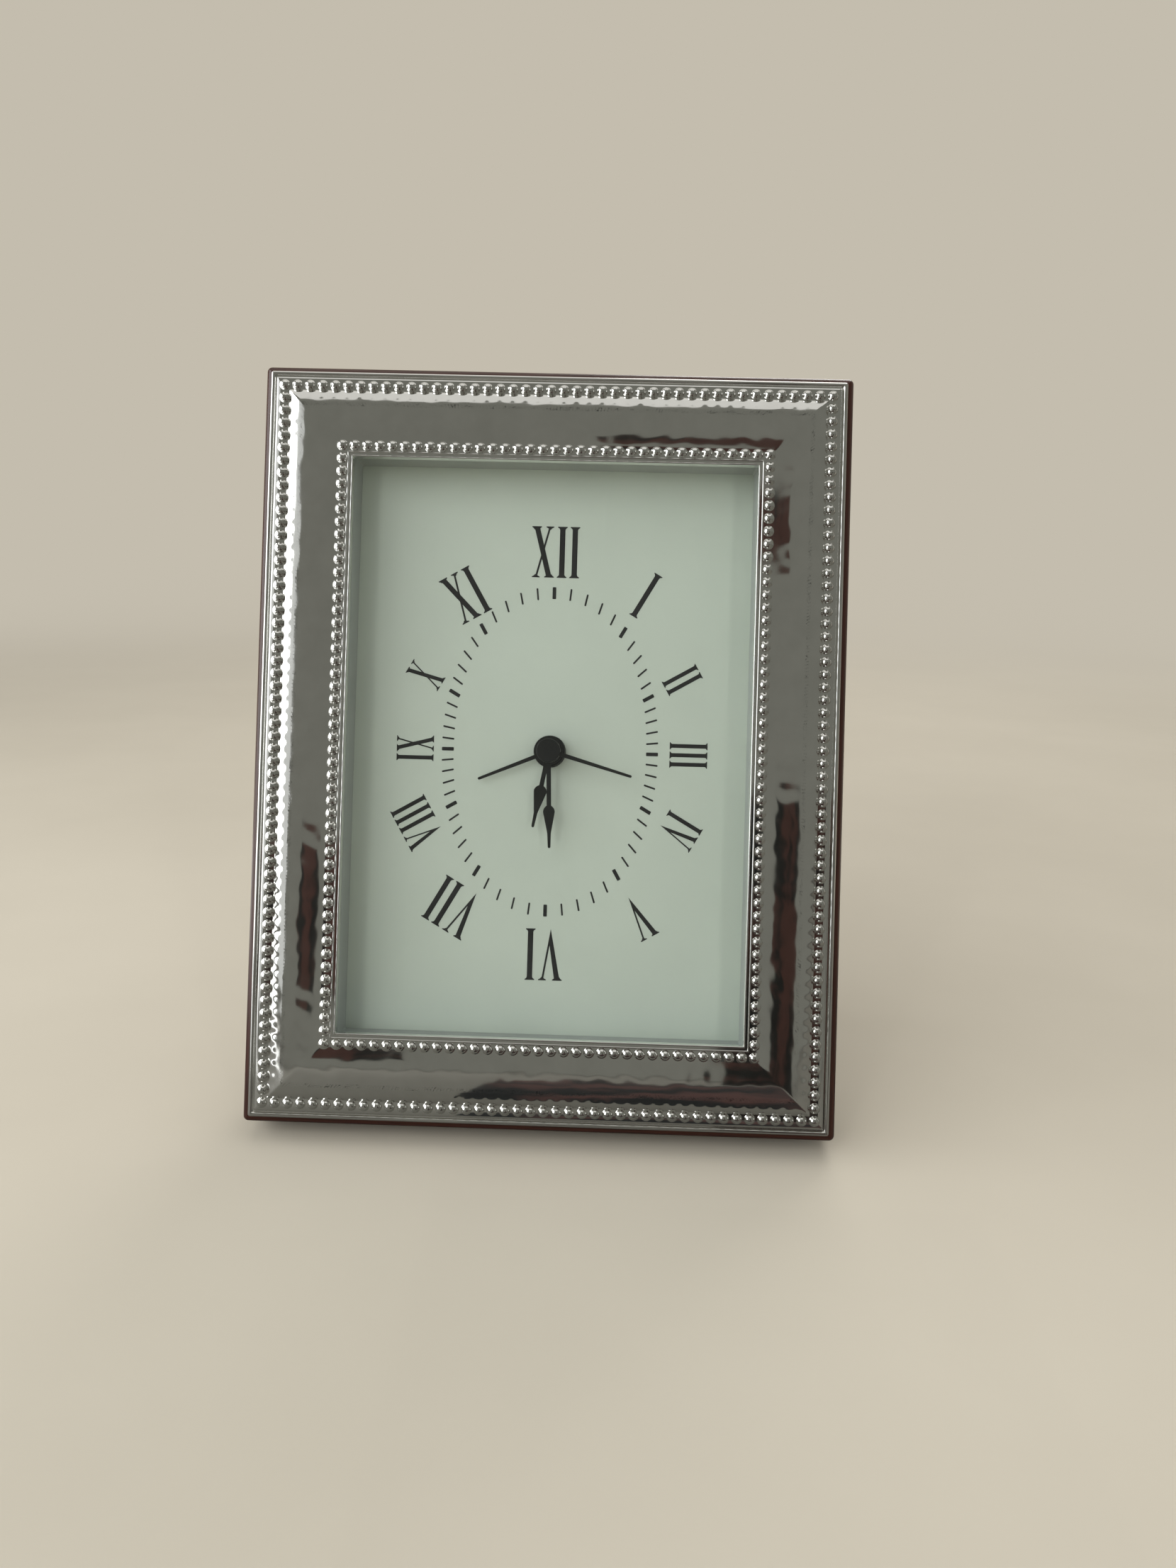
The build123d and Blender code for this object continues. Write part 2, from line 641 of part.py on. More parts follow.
INTERMEDIATE_WHEEL_RADIUS, ROTOR_PINION_RADIUS = pitch_radii(
    ROTOR_DISTANCE, INTERMEDIATE_WHEEL_TEETH, ROTOR_PINION_TEETH
)

# The bearings in the front and back plates, and how deep the arbors stand in them
FRONT_BEARING = INSIDE_FRONT + CASE_PLATE / 2
BACK_BEARING = INSIDE_BACK + BOSS_HEIGHT - CASE_PLATE / 2


def alarm_wheel():
    wheel = gear(CENTRE, ALARM_WHEEL_TEETH, ALARM_WHEEL_RADIUS, ALARM_TOP, ALARM_KNOB_DIRECTION)
    span = (ALARM_TOP - WHEEL_THICKNESS, ALARM_LEVEL + BOSS_THICKNESS)
    return wheel + rod(CENTRE, ALARM_TUBE, span) - rod(CENTRE, ALARM_BORE, span)


def hour_wheel():
    wheel = gear(CENTRE, HOUR_WHEEL_TEETH, HOUR_WHEEL_RADIUS, HOUR_TOP, MOTION_DIRECTION)
    span = (HOUR_TOP - WHEEL_THICKNESS, HOUR_LEVEL + BOSS_THICKNESS)
    return wheel + rod(CENTRE, HOUR_TUBE, span) - rod(CENTRE, HOUR_BORE, span)


def motion_wheel():
    """Wheel and pinion on a stud, taking the minute wheel's motion to the hour wheel."""
    wheel_phase = meshing_phase(MOTION_DIRECTION, MOTION_DIRECTION, MINUTE_PINION_TEETH, MOTION_WHEEL_TEETH)
    pinion_phase = meshing_phase(MOTION_DIRECTION, MOTION_DIRECTION, HOUR_WHEEL_TEETH, MOTION_PINION_TEETH)
    wheel = gear(MOTION_AXIS, MOTION_WHEEL_TEETH, MOTION_WHEEL_RADIUS, MOTION_TOP, wheel_phase)
    pinion = gear(MOTION_AXIS, MOTION_PINION_TEETH, MOTION_PINION_RADIUS, HOUR_TOP, pinion_phase)
    span = (MOTION_TOP - WHEEL_THICKNESS, HOUR_TOP)
    collar = rod(MOTION_AXIS, MOTION_PINION_RADIUS / 2 + PIVOT_RADIUS, span)
    return wheel + pinion + collar - rod(MOTION_AXIS, PIVOT_RADIUS + RUNNING_PLAY, span)


def minute_wheel():
    wheel = gear(CENTRE, MINUTE_WHEEL_TEETH, MINUTE_WHEEL_RADIUS, MINUTE_TOP, THIRD_DIRECTION)
    pinion = gear(CENTRE, MINUTE_PINION_TEETH, MINUTE_PINION_RADIUS, MOTION_TOP, MOTION_DIRECTION)
    span = (MINUTE_TOP - WHEEL_THICKNESS, MINUTE_LEVEL + BOSS_THICKNESS)
    return wheel + pinion + rod(CENTRE, MINUTE_TUBE, span) - rod(CENTRE, MINUTE_BORE, span)


def third_wheel():
    pinion_phase = meshing_phase(THIRD_DIRECTION, THIRD_DIRECTION, MINUTE_WHEEL_TEETH, THIRD_PINION_TEETH)
    wheel_phase = meshing_phase(THIRD_DIRECTION, THIRD_DIRECTION, SECOND_PINION_TEETH, THIRD_WHEEL_TEETH)
    wheel = gear(THIRD_AXIS, THIRD_WHEEL_TEETH, THIRD_WHEEL_RADIUS, THIRD_TOP, wheel_phase)
    pinion = gear(THIRD_AXIS, THIRD_PINION_TEETH, THIRD_PINION_RADIUS, MINUTE_TOP, pinion_phase)
    return wheel + pinion + rod(THIRD_AXIS, PIVOT_RADIUS, (BACK_BEARING, FRONT_BEARING))


def second_wheel():
    wheel = gear(CENTRE, SECOND_WHEEL_TEETH, SECOND_WHEEL_RADIUS, SECOND_TOP, INTERMEDIATE_DIRECTION)
    pinion = gear(CENTRE, SECOND_PINION_TEETH, SECOND_PINION_RADIUS, THIRD_TOP, THIRD_DIRECTION)
    arbor_top = SECOND_LEVEL + BOSS_THICKNESS
    return wheel + pinion + rod(CENTRE, SECOND_ARBOR_RADIUS, (BACK_BEARING, arbor_top))


def intermediate_wheel():
    """Wheel and pinion on a stud of the rear case, between the rotor and the second wheel."""
    axis = INTERMEDIATE_AXIS
    pinion_phase = meshing_phase(
        INTERMEDIATE_DIRECTION, INTERMEDIATE_DIRECTION, SECOND_WHEEL_TEETH, INTERMEDIATE_PINION_TEETH
    )
    wheel = gear(axis, INTERMEDIATE_WHEEL_TEETH, INTERMEDIATE_WHEEL_RADIUS, INTERMEDIATE_TOP, ROTOR_DIRECTION)
    pinion = gear(axis, INTERMEDIATE_PINION_TEETH, INTERMEDIATE_PINION_RADIUS, SECOND_TOP, pinion_phase)
    span = (INTERMEDIATE_TOP - WHEEL_THICKNESS, SECOND_TOP)
    collar = rod(axis, INTERMEDIATE_PINION_RADIUS / 2 + PIVOT_RADIUS, span)
    return wheel + pinion + collar - rod(axis, PIVOT_RADIUS + RUNNING_PLAY, span)


# The stator lies level with the minute wheel, and the rotor's magnet turns in it
STATOR_TOP = MINUTE_TOP - WHEEL_GAP / 2
STATOR_BOTTOM = STATOR_TOP - STATOR_THICKNESS
STATOR_MIDDLE = (STATOR_TOP + STATOR_BOTTOM) / 2


def rotor():
    """Magnet, pinion and arbor of the stepping motor, moulded as one."""
    phase = meshing_phase(ROTOR_DIRECTION, ROTOR_DIRECTION, INTERMEDIATE_WHEEL_TEETH, ROTOR_PINION_TEETH)
    pinion = gear(ROTOR_AXIS, ROTOR_PINION_TEETH, ROTOR_PINION_RADIUS, INTERMEDIATE_TOP, phase)
    half = MAGNET_LENGTH / 2
    magnet = rod(ROTOR_AXIS, MAGNET_RADIUS, (STATOR_MIDDLE - half, STATOR_MIDDLE + half))
    return pinion + magnet + rod(ROTOR_AXIS, PIVOT_RADIUS, (BACK_BEARING, FRONT_BEARING))


def stator_plan():
    """Lower and upper edge of the stator, and the middle of its width."""
    low = ROTOR_AXIS[1] - MAGNET_RADIUS - AIR_GAP - STATOR_NECK
    return low, low + STATOR_REACH, ROTOR_AXIS[0] - STATOR_SHIFT


def stator():
    low, high, middle = stator_plan()
    half = STATOR_WIDTH / 2
    plate = block((middle - half, middle + half), (low, high), (STATOR_BOTTOM, STATOR_TOP))
    inside = half - STATOR_ARM
    coil_space = block(
        (middle - inside, middle + inside), (low + STATOR_YOKE, high), (STATOR_BOTTOM, STATOR_TOP)
    )
    bore = rod(ROTOR_AXIS, MAGNET_RADIUS + AIR_GAP, (STATOR_BOTTOM, STATOR_TOP))
    return plate - coil_space - bore


def coil():
    """Winding between the stator's arms, on a core whose ends lie on top of them."""
    low, high, middle = stator_plan()
    inside = STATOR_WIDTH / 2 - STATOR_ARM
    length = 2 * (inside - COIL_PLAY)
    line = low + STATOR_YOKE + COIL_PLAY + COIL_RADIUS
    winding = Pos(middle, line, STATOR_MIDDLE) * Rot(0, 90, 0) * Cylinder(COIL_RADIUS, length)
    half = STATOR_WIDTH / 2
    core_level = (STATOR_TOP, STATOR_TOP + STATOR_THICKNESS)
    core = block((middle - half, middle + half), (line - STATOR_ARM / 2, high), core_level)
    return winding + core


def stator_posts():
    """Places of the two posts that carry the coil core."""
    low, high, middle = stator_plan()
    x = STATOR_WIDTH / 2 - STATOR_ARM / 2
    y = high - STATOR_ARM / 2
    return [(middle - x, y), (middle + x, y)]


def knob_arbor(axis, teeth, pitch_radius, top, phase, front_end):
    """Arbor with a pinion inside the case, whose end stands out of the back for a knob."""
    pinion = gear(axis, teeth, pitch_radius, top, phase)
    shaft = rod(axis, KNOB_ARBOR_RADIUS, (KNOB_BOTTOM + KNOB_HEIGHT / 2, front_end))
    return pinion + shaft


KNOB_FLOOR = CASE_BACK + KNOB_WELL_DEPTH
KNOB_TOP = KNOB_FLOOR - KNOB_FLOOR_GAP
KNOB_BOTTOM = KNOB_TOP - KNOB_HEIGHT
SET_SOCKET_END = MOTION_TOP + WHEEL_THICKNESS


def time_setting_arbor():
    to_knob = SET_KNOB_DIRECTION
    wheel_phase = meshing_phase(MOTION_DIRECTION, MOTION_DIRECTION, MINUTE_PINION_TEETH, MOTION_WHEEL_TEETH)
    phase = meshing_phase(to_knob, wheel_phase, MOTION_WHEEL_TEETH, SET_PINION_TEETH)
    front_end = INSIDE_FRONT - CASE_PLAY
    return knob_arbor(SET_KNOB_AXIS, SET_PINION_TEETH, SET_PINION_RADIUS, MOTION_TOP, phase, front_end)


def alarm_setting_arbor():
    direction = ALARM_KNOB_DIRECTION
    phase = meshing_phase(direction, direction, ALARM_WHEEL_TEETH, ALARM_PINION_TEETH)
    arbor = knob_arbor(ALARM_KNOB_AXIS, ALARM_PINION_TEETH, ALARM_PINION_RADIUS, ALARM_TOP, phase, ALARM_TOP)
    return arbor + rod(ALARM_KNOB_AXIS, PIVOT_RADIUS, (ALARM_TOP, FRONT_BEARING))


def knob(axis):
    """Fluted knob pressed on the end of a setting arbor."""
    body = rod(axis, KNOB_RADIUS, (KNOB_BOTTOM, KNOB_TOP))
    body = fillet(body.edges().filter_by(GeomType.CIRCLE).group_by(Axis.Z)[0], KNOB_GRIP_RADIUS)
    flutes = []
    for grip in range(KNOB_GRIPS):
        place = polar(KNOB_RADIUS + KNOB_GRIP_RADIUS / 3, grip * 360 / KNOB_GRIPS, axis)
        flutes.append(rod(place, KNOB_GRIP_RADIUS, (KNOB_BOTTOM, KNOB_TOP)))
    socket = rod(axis, KNOB_ARBOR_RADIUS + PRESS_PLAY, (KNOB_BOTTOM + KNOB_HEIGHT / 2, KNOB_TOP))
    return body - flutes - socket


# Battery bay along the bottom of the case, open at the back
BAY_BOTTOM = BAY_BOTTOM_WALL - CASE_HALF
BAY_TOP = BAY_BOTTOM + 2 * (CELL_RADIUS + CELL_PLAY)
BAY_MIDDLE = (BAY_BOTTOM + BAY_TOP) / 2
BAY_LENGTH = CELL_LENGTH + CELL_TIP_LENGTH + CONTACT_SPRING + 2 * CONTACT_THICKNESS + 2 * CONTACT_GAP
BAY_FLOOR = INSIDE_FRONT - FIRST_WHEEL_GAP - BAY_WALL
CELL_AXIS = BAY_FLOOR - CONTACT_GAP - CELL_RADIUS


def front_case():
    """Dial side of the movement: plate, walls, centre bush, mounting ears, stud, posts and bearings."""
    shell = slab(CASE_SIZE, CASE_SIZE, (CASE_SPLIT, CASE_FRONT))
    hollow_size = CASE_SIZE - 2 * CASE_WALL
    shell -= slab(hollow_size, hollow_size, (CASE_SPLIT, INSIDE_FRONT))
    ear_length = CASE_SIZE + 2 * EAR_REACH
    for level in (-EAR_OFFSET, EAR_OFFSET):
        ears = block(
            (-ear_length / 2, ear_length / 2),
            (level - EAR_WIDTH / 2, level + EAR_WIDTH / 2),
            (CASE_FRONT - EAR_THICKNESS, CASE_FRONT),
        )
        shell += ears - slab(hollow_size, hollow_size, (CASE_SPLIT, INSIDE_FRONT))
    shell += rod(CENTRE, BUSH_RADIUS, (CASE_FRONT, BUSH_ABOVE_DIAL))
    shell += rod(MOTION_AXIS, PIVOT_RADIUS, (MOTION_TOP - WHEEL_THICKNESS, INSIDE_FRONT))
    for post in stator_posts():
        shell += rod(post, STATOR_ARM / 3, (STATOR_TOP + STATOR_THICKNESS, INSIDE_FRONT))
    socket = (SET_SOCKET_END, INSIDE_FRONT)
    shell += rod(SET_KNOB_AXIS, KNOB_ARBOR_RADIUS + BOSS_WALL, socket)
    shell -= rod(SET_KNOB_AXIS, KNOB_ARBOR_RADIUS + RUNNING_PLAY, socket)
    shell -= rod(CENTRE, BUSH_BORE, (INSIDE_FRONT, BUSH_ABOVE_DIAL))
    for axis in (THIRD_AXIS, ROTOR_AXIS, ALARM_KNOB_AXIS):
        shell -= rod(axis, PIVOT_RADIUS + RUNNING_PLAY, (INSIDE_FRONT, FRONT_BEARING + CASE_PLAY))
    return shell - screw_holes(ear_places(), CASE_SCREW, (CASE_FRONT - EAR_THICKNESS, CASE_FRONT))


def rear_case():
    """Back of the movement: walls, battery bay, knob wells, sound holes, slide slot, stud and bearings."""
    inside = CASE_SIZE - 2 * CASE_WALL
    shell = slab(CASE_SIZE, CASE_SIZE, (CASE_BACK, CASE_SPLIT))
    shell -= slab(inside, inside, (INSIDE_BACK, CASE_SPLIT))
    lip_outside = inside - 2 * CASE_PLAY
    lip = slab(lip_outside, lip_outside, (CASE_SPLIT - CASE_LIP, CASE_SPLIT + CASE_LIP))
    lip_inside = lip_outside - CASE_WALL
    lip -= slab(lip_inside, lip_inside, (CASE_SPLIT - CASE_LIP, CASE_SPLIT + CASE_LIP))
    bridge = slab(inside, inside, (CASE_SPLIT - CASE_LIP, CASE_SPLIT)) - slab(
        lip_inside, lip_inside, (CASE_SPLIT - CASE_LIP, CASE_SPLIT)
    )
    shell += lip + bridge
    bay_half = BAY_LENGTH / 2
    shell += block(
        (-bay_half - BAY_WALL, bay_half + BAY_WALL),
        (-lip_outside / 2, BAY_TOP + BAY_WALL),
        (INSIDE_BACK, BAY_FLOOR + BAY_WALL),
    )
    for axis in (ALARM_KNOB_AXIS, SET_KNOB_AXIS):
        well = KNOB_RADIUS + KNOB_WELL_PLAY
        shell += rod(axis, well + CASE_PLATE, (CASE_BACK, KNOB_FLOOR + CASE_PLATE))
        shell -= rod(axis, well, (CASE_BACK, KNOB_FLOOR))
        shell -= rod(axis, KNOB_ARBOR_RADIUS + RUNNING_PLAY, (KNOB_FLOOR, KNOB_FLOOR + CASE_PLATE))
    shell -= block((-bay_half, bay_half), (BAY_BOTTOM, BAY_TOP), (CASE_BACK, BAY_FLOOR))
    for axis in (CENTRE, THIRD_AXIS, ROTOR_AXIS):
        shell += rod(axis, PIVOT_RADIUS + BOSS_WALL, (INSIDE_BACK, INSIDE_BACK + BOSS_HEIGHT))
        bearing = (BACK_BEARING - CASE_PLAY, INSIDE_BACK + BOSS_HEIGHT)
        shell -= rod(axis, PIVOT_RADIUS + RUNNING_PLAY, bearing)
    shell += rod(INTERMEDIATE_AXIS, PIVOT_RADIUS, (INSIDE_BACK, SECOND_TOP))
    for place in circuit_posts():
        shell += rod(place, BOSS_WALL, (INSIDE_BACK, INSIDE_BACK + CIRCUIT_STANDOFF))
    slot_length = SLIDE_LENGTH - 2 * SLIDE_FLANGE + SLIDE_TRAVEL
    half_width = SLIDE_STEM / 2 + SLIDE_PLAY
    shell -= block(
        (SLIDE_X - half_width, SLIDE_X + half_width),
        (SLIDE_Y - SLIDE_PLAY, SLIDE_Y + slot_length + SLIDE_PLAY),
        (CASE_BACK, INSIDE_BACK),
    )
    holes = [(SOUNDER_X, SOUNDER_Y)]
    holes += [polar(SOUNDER_RADIUS / 2, turn * 60, (SOUNDER_X, SOUNDER_Y)) for turn in range(6)]
    for place in holes:
        shell -= rod(place, SOUND_HOLE_RADIUS, (CASE_BACK, INSIDE_BACK))
    return shell


def circuit_place():
    """Left edge and lower edge of the circuit board inside the case."""
    left = -CASE_HALF + 2 * CASE_WALL
    low = BAY_TOP + 2 * BAY_WALL
    return left, low


def circuit_posts():
    left, low = circuit_place()
    middle = left + BOARD_STRIP_WIDTH / 2
    inset = BOARD_STRIP_WIDTH / 2
    return [(middle, low + inset), (middle, low + BOARD_STRIP_HEIGHT - inset)]


def circuit_board():
    left, low = circuit_place()
    level = INSIDE_BACK + CIRCUIT_STANDOFF
    return block(
        (left, left + BOARD_STRIP_WIDTH), (low, low + BOARD_STRIP_HEIGHT), (level, level + CIRCUIT_THICKNESS)
    )


def sounder():
    return rod((SOUNDER_X, SOUNDER_Y), SOUNDER_RADIUS, (INSIDE_BACK, INSIDE_BACK + SOUNDER_HEIGHT))


def alarm_slide():
    """Ribbed slider with a stem through the case and a flange that keeps it in."""
    stem_length = SLIDE_LENGTH - 2 * SLIDE_FLANGE
    middle = SLIDE_Y + stem_length / 2
    half = SLIDE_LENGTH / 2
    outside = CASE_BACK - SLIDE_PLAY
    inside = INSIDE_BACK + SLIDE_PLAY
    head = block(
        (SLIDE_X - SLIDE_WIDTH / 2, SLIDE_X + SLIDE_WIDTH / 2),
        (middle - half, middle + half),
        (outside - SLIDE_HEIGHT, outside),
    )
    stem = block(
        (SLIDE_X - SLIDE_STEM / 2, SLIDE_X + SLIDE_STEM / 2),
        (SLIDE_Y, SLIDE_Y + stem_length),
        (outside, inside),
    )
    flange = block(
        (SLIDE_X - SLIDE_WIDTH / 2, SLIDE_X + SLIDE_WIDTH / 2),
        (middle - half, middle + half),
        (inside, inside + SLIDE_FLANGE),
    )
    ribs = []
    for rib in (-1, 0, 1):
        y = middle + rib * SLIDE_LENGTH / 4
        ribs.append(
            block(
                (SLIDE_X - SLIDE_WIDTH / 2, SLIDE_X + SLIDE_WIDTH / 2),
                (y - SLIDE_PLAY * 3, y + SLIDE_PLAY * 3),
                (outside - SLIDE_HEIGHT, outside - SLIDE_HEIGHT / 2),
            )
        )
    return head + stem + flange - ribs


def battery():
    """AAA cell with its tip to the right."""
    left = -BAY_LENGTH / 2 + CONTACT_THICKNESS + CONTACT_SPRING + CONTACT_GAP
    turn = Rot(0, 90, 0)
    body = Pos(left + CELL_LENGTH / 2, BAY_MIDDLE, CELL_AXIS) * turn * Cylinder(CELL_RADIUS, CELL_LENGTH)
    body = fillet(body.edges().filter_by(GeomType.CIRCLE), CELL_PLAY)
    tip_middle = left + CELL_LENGTH + CELL_TIP_LENGTH / 2
    return body + Pos(tip_middle, BAY_MIDDLE, CELL_AXIS) * turn * Cylinder(CELL_TIP_RADIUS, CELL_TIP_LENGTH)


def contact_plate(x_span):
    half = CONTACT_WIDTH / 2
    return block(x_span, (BAY_MIDDLE - half, BAY_MIDDLE + half), (CELL_AXIS - half, BAY_FLOOR))


def positive_contact():
    end = BAY_LENGTH / 2
    return contact_plate((end - CONTACT_THICKNESS, end))


def negative_contact():
    """Plate with a bowed leaf that presses on the cell."""
    end = -BAY_LENGTH / 2
    plate = contact_plate((end, end + CONTACT_THICKNESS))
    root = end + CONTACT_THICKNESS
    half = CONTACT_WIDTH / 2
    outer = ThreePointArc((root, -half), (root + CONTACT_SPRING, 0), (root, half))
    inner = ThreePointArc(
        (root, -half + 2 * CONTACT_THICKNESS), (root + CONTACT_SPRING - CONTACT_THICKNESS, 0),
        (root, half - 2 * CONTACT_THICKNESS)
    )
    ends = [Line(outer @ 0, inner @ 0), Line(outer @ 1, inner @ 1)]
    bow = make_face(Wire([outer.edge(), inner.edge(), ends[0].edge(), ends[1].edge()]))
    leaf = Pos(0, BAY_MIDDLE, CELL_AXIS - half / 2) * extrude(bow, half)
    return plate + leaf


def on_dial(shape, angle):
    """Turns a hand drawn pointing at twelve to its clockwise angle."""
    return Rot(0, 0, -angle) * shape


def baton_plan(length):
    """Slim tapered blade with a round tip."""
    tip = TIP_WIDTH / 2
    root = STEM_WIDTH / 2
    return make_face(
        Wire(
            Polyline((-tip, length - tip), (-root, 0), (root, 0), (tip, length - tip)).edges()
            + ThreePointArc((tip, length - tip), (0, length), (-tip, length - tip)).edges()
        )
    )


def spade_plan(length, spade_length, spade_width):
    """Stem, drop-shaped spade and slim tapered tip."""
    tip = TIP_WIDTH / 2
    root = STEM_WIDTH / 2
    half = spade_width / 2
    start = length - spade_length
    widest = start + SPADE_SHOULDER
    neck = (SPADE_NECK_WIDTH / 2, length - SPADE_NECK)
    shoulder = (root + SPADE_SWELL * (half - root), start + (1 - SPADE_SWELL) * SPADE_SHOULDER)
    right = [
        Line((root, 0), (root, start)),
        ThreePointArc((root, start), shoulder, (half, widest)),
        Line((half, widest), neck),
        Line(neck, (tip, length - tip)),
    ]
    edges = ShapeList()
    for part in right:
        edges += part.edges()
        edges += mirror(part, Plane.YZ).edges()
    edges += Line((-root, 0), (root, 0)).edges()
    edges += ThreePointArc((tip, length - tip), (0, length), (-tip, length - tip)).edges()
    return make_face(Wire(edges))


def hand(plan, boss_radius, bore, level, angle):
    """Flat blade on a round boss that is pressed on a tube."""
    blade = Pos(0, 0, level + BOSS_THICKNESS - HAND_THICKNESS) * extrude(plan, HAND_THICKNESS)
    boss = rod(CENTRE, boss_radius, (level, level + BOSS_THICKNESS))
    span = (level, level + BOSS_THICKNESS)
    return on_dial(blade + boss - rod(CENTRE, bore + PRESS_PLAY, span), angle)


def alarm_hand():
    return hand(baton_plan(ALARM_HAND_LENGTH), ALARM_BOSS_RADIUS, ALARM_TUBE, ALARM_LEVEL, ALARM_HAND_ANGLE)


def hour_hand():
    plan = spade_plan(HOUR_HAND_LENGTH, HOUR_SPADE_LENGTH, HOUR_SPADE_WIDTH)
    return hand(plan, HOUR_BOSS_RADIUS, HOUR_TUBE, HOUR_LEVEL, HOUR_HAND_ANGLE)


def minute_hand():
    plan = spade_plan(MINUTE_HAND_LENGTH, MINUTE_SPADE_LENGTH, MINUTE_SPADE_WIDTH)
    return hand(plan, MINUTE_BOSS_RADIUS, MINUTE_TUBE, MINUTE_LEVEL, MINUTE_HAND_ANGLE)


def second_hand():
    """Slim hand under a round cap that closes the centre."""
    blade = Pos(0, 0, SECOND_LEVEL + BOSS_THICKNESS - HAND_THICKNESS) * extrude(
        baton_plan(SECOND_HAND_LENGTH), HAND_THICKNESS
    )
    top = SECOND_LEVEL + SECOND_CAP_HEIGHT
    cap = rod(CENTRE, SECOND_CAP_RADIUS, (SECOND_LEVEL, top))
    cap = fillet(cap.edges().filter_by(GeomType.CIRCLE).group_by(Axis.Z)[-1], HAND_THICKNESS / 2)
    socket = rod(CENTRE, SECOND_ARBOR_RADIUS + PRESS_PLAY, (SECOND_LEVEL, SECOND_LEVEL + BOSS_THICKNESS))
    return on_dial(blade + cap - socket, SECOND_HAND_ANGLE)


def movement_screws():
    seat = CASE_FRONT - EAR_THICKNESS
    shank, head, height, length = CASE_SCREW
    sizes = (shank, head, height, EAR_THICKNESS + length - SCREW_HOLE_PLAY)
    return Compound([screw(place, seat, sizes) for place in ear_places()])


def knuckle(x_span, radius, bore):
    """Hinge knuckle round the hinge axis."""
    middle = (x_span[0] + x_span[1]) / 2
    length = x_span[1] - x_span[0]
    place = Pos(middle, HINGE_Y, HINGE_Z) * Rot(0, 90, 0)
    return place * Cylinder(radius, length), place * Cylinder(bore, length)


def panel_hinge_leaf():
    half = HINGE_WIDTH / 2
    leaf = block(
        (-half, half), (HINGE_Y, HINGE_Y + HINGE_PANEL_LEAF_HEIGHT), (FRAME_BACK - HINGE_LEAF, FRAME_BACK)
    )
    bores = []
    for span in ((-half, PANEL_KNUCKLE_LENGTH - half), (half - PANEL_KNUCKLE_LENGTH, half)):
        outside, bore = knuckle(span, KNUCKLE_RADIUS, PIN_RADIUS + PRESS_PLAY)
        web = block(span, (HINGE_Y, HINGE_Y + KNUCKLE_RADIUS), (HINGE_Z, FRAME_BACK))
        leaf += outside + web
        bores.append(bore)
    holes = screw_holes(hinge_screw_places()[0], HINGE_SCREW, (FRAME_BACK - HINGE_LEAF, FRAME_BACK))
    return leaf - bores - holes


def strut_hinge_leaf():
    """Leaf let into the folded strut, with a knuckle and a stop that meets the fixed leaf when open."""
    half = HINGE_WIDTH / 2
    inner = half - PANEL_KNUCKLE_LENGTH - KNUCKLE_PLAY
    outside, bore = knuckle((-inner, inner), KNUCKLE_RADIUS - KNUCKLE_PLAY / 2, PIN_RADIUS + RUNNING_PLAY)
    back = LEAF_SEAT
    front = back + HINGE_LEAF
    leaf = block((-half, half), (STRUT_TOP - HINGE_STRUT_LEAF_HEIGHT, STRUT_TOP), (back, front))
    neck = block((-inner, inner), (STRUT_TOP, HINGE_Y), (back, front))
    stop_front = FRAME_BACK - HINGE_LEAF - STOP_GAP
    stop = block(
        (-STOP_WIDTH / 2, STOP_WIDTH / 2),
        (HINGE_Y, HINGE_Y + STOP_LENGTH),
        (stop_front - HINGE_LEAF, stop_front),
    )
    holes = screw_holes(hinge_screw_places()[1], HINGE_SCREW, (back, front))
    return leaf + neck + outside + open_strut(stop, -1) - bore - holes


def hinge_pin():
    length = HINGE_WIDTH + 2 * PIN_OVERHANG
    return Pos(0, HINGE_Y, HINGE_Z) * Rot(0, 90, 0) * Cylinder(PIN_RADIUS, length)


# The strut's hinge leaf is let into its front face, level with the front of the knuckle
LEAF_SEAT = HINGE_Z + KNUCKLE_RADIUS - KNUCKLE_PLAY / 2 - HINGE_LEAF


def open_strut(shape, times=1):
    """Swings a folded strut piece open about the hinge axis."""
    return Pos(0, HINGE_Y, HINGE_Z) * Rot(times * STRUT_OPENING, 0, 0) * Pos(0, -HINGE_Y, -HINGE_Z) * shape


def strut_length():
    """Distance from the strut's top to past its foot, before the foot is trimmed level."""
    up_the_frame = HINGE_Y + WOOD_HEIGHT / 2
    behind_the_frame = FRAME_BACK - HINGE_Z
    hinge_height = up_the_frame * cos(radians(LEAN)) - behind_the_frame * sin(radians(LEAN))
    return hinge_height / cos(radians(STRUT_OPENING - LEAN)) + STRUT_THICKNESS


def trapezoid(top, bottom, top_width, bottom_width):
    return make_face(
        Polyline(
            (-top_width / 2, top),
            (top_width / 2, top),
            (bottom_width / 2, bottom),
            (-bottom_width / 2, bottom),
            close=True,
        )
    )


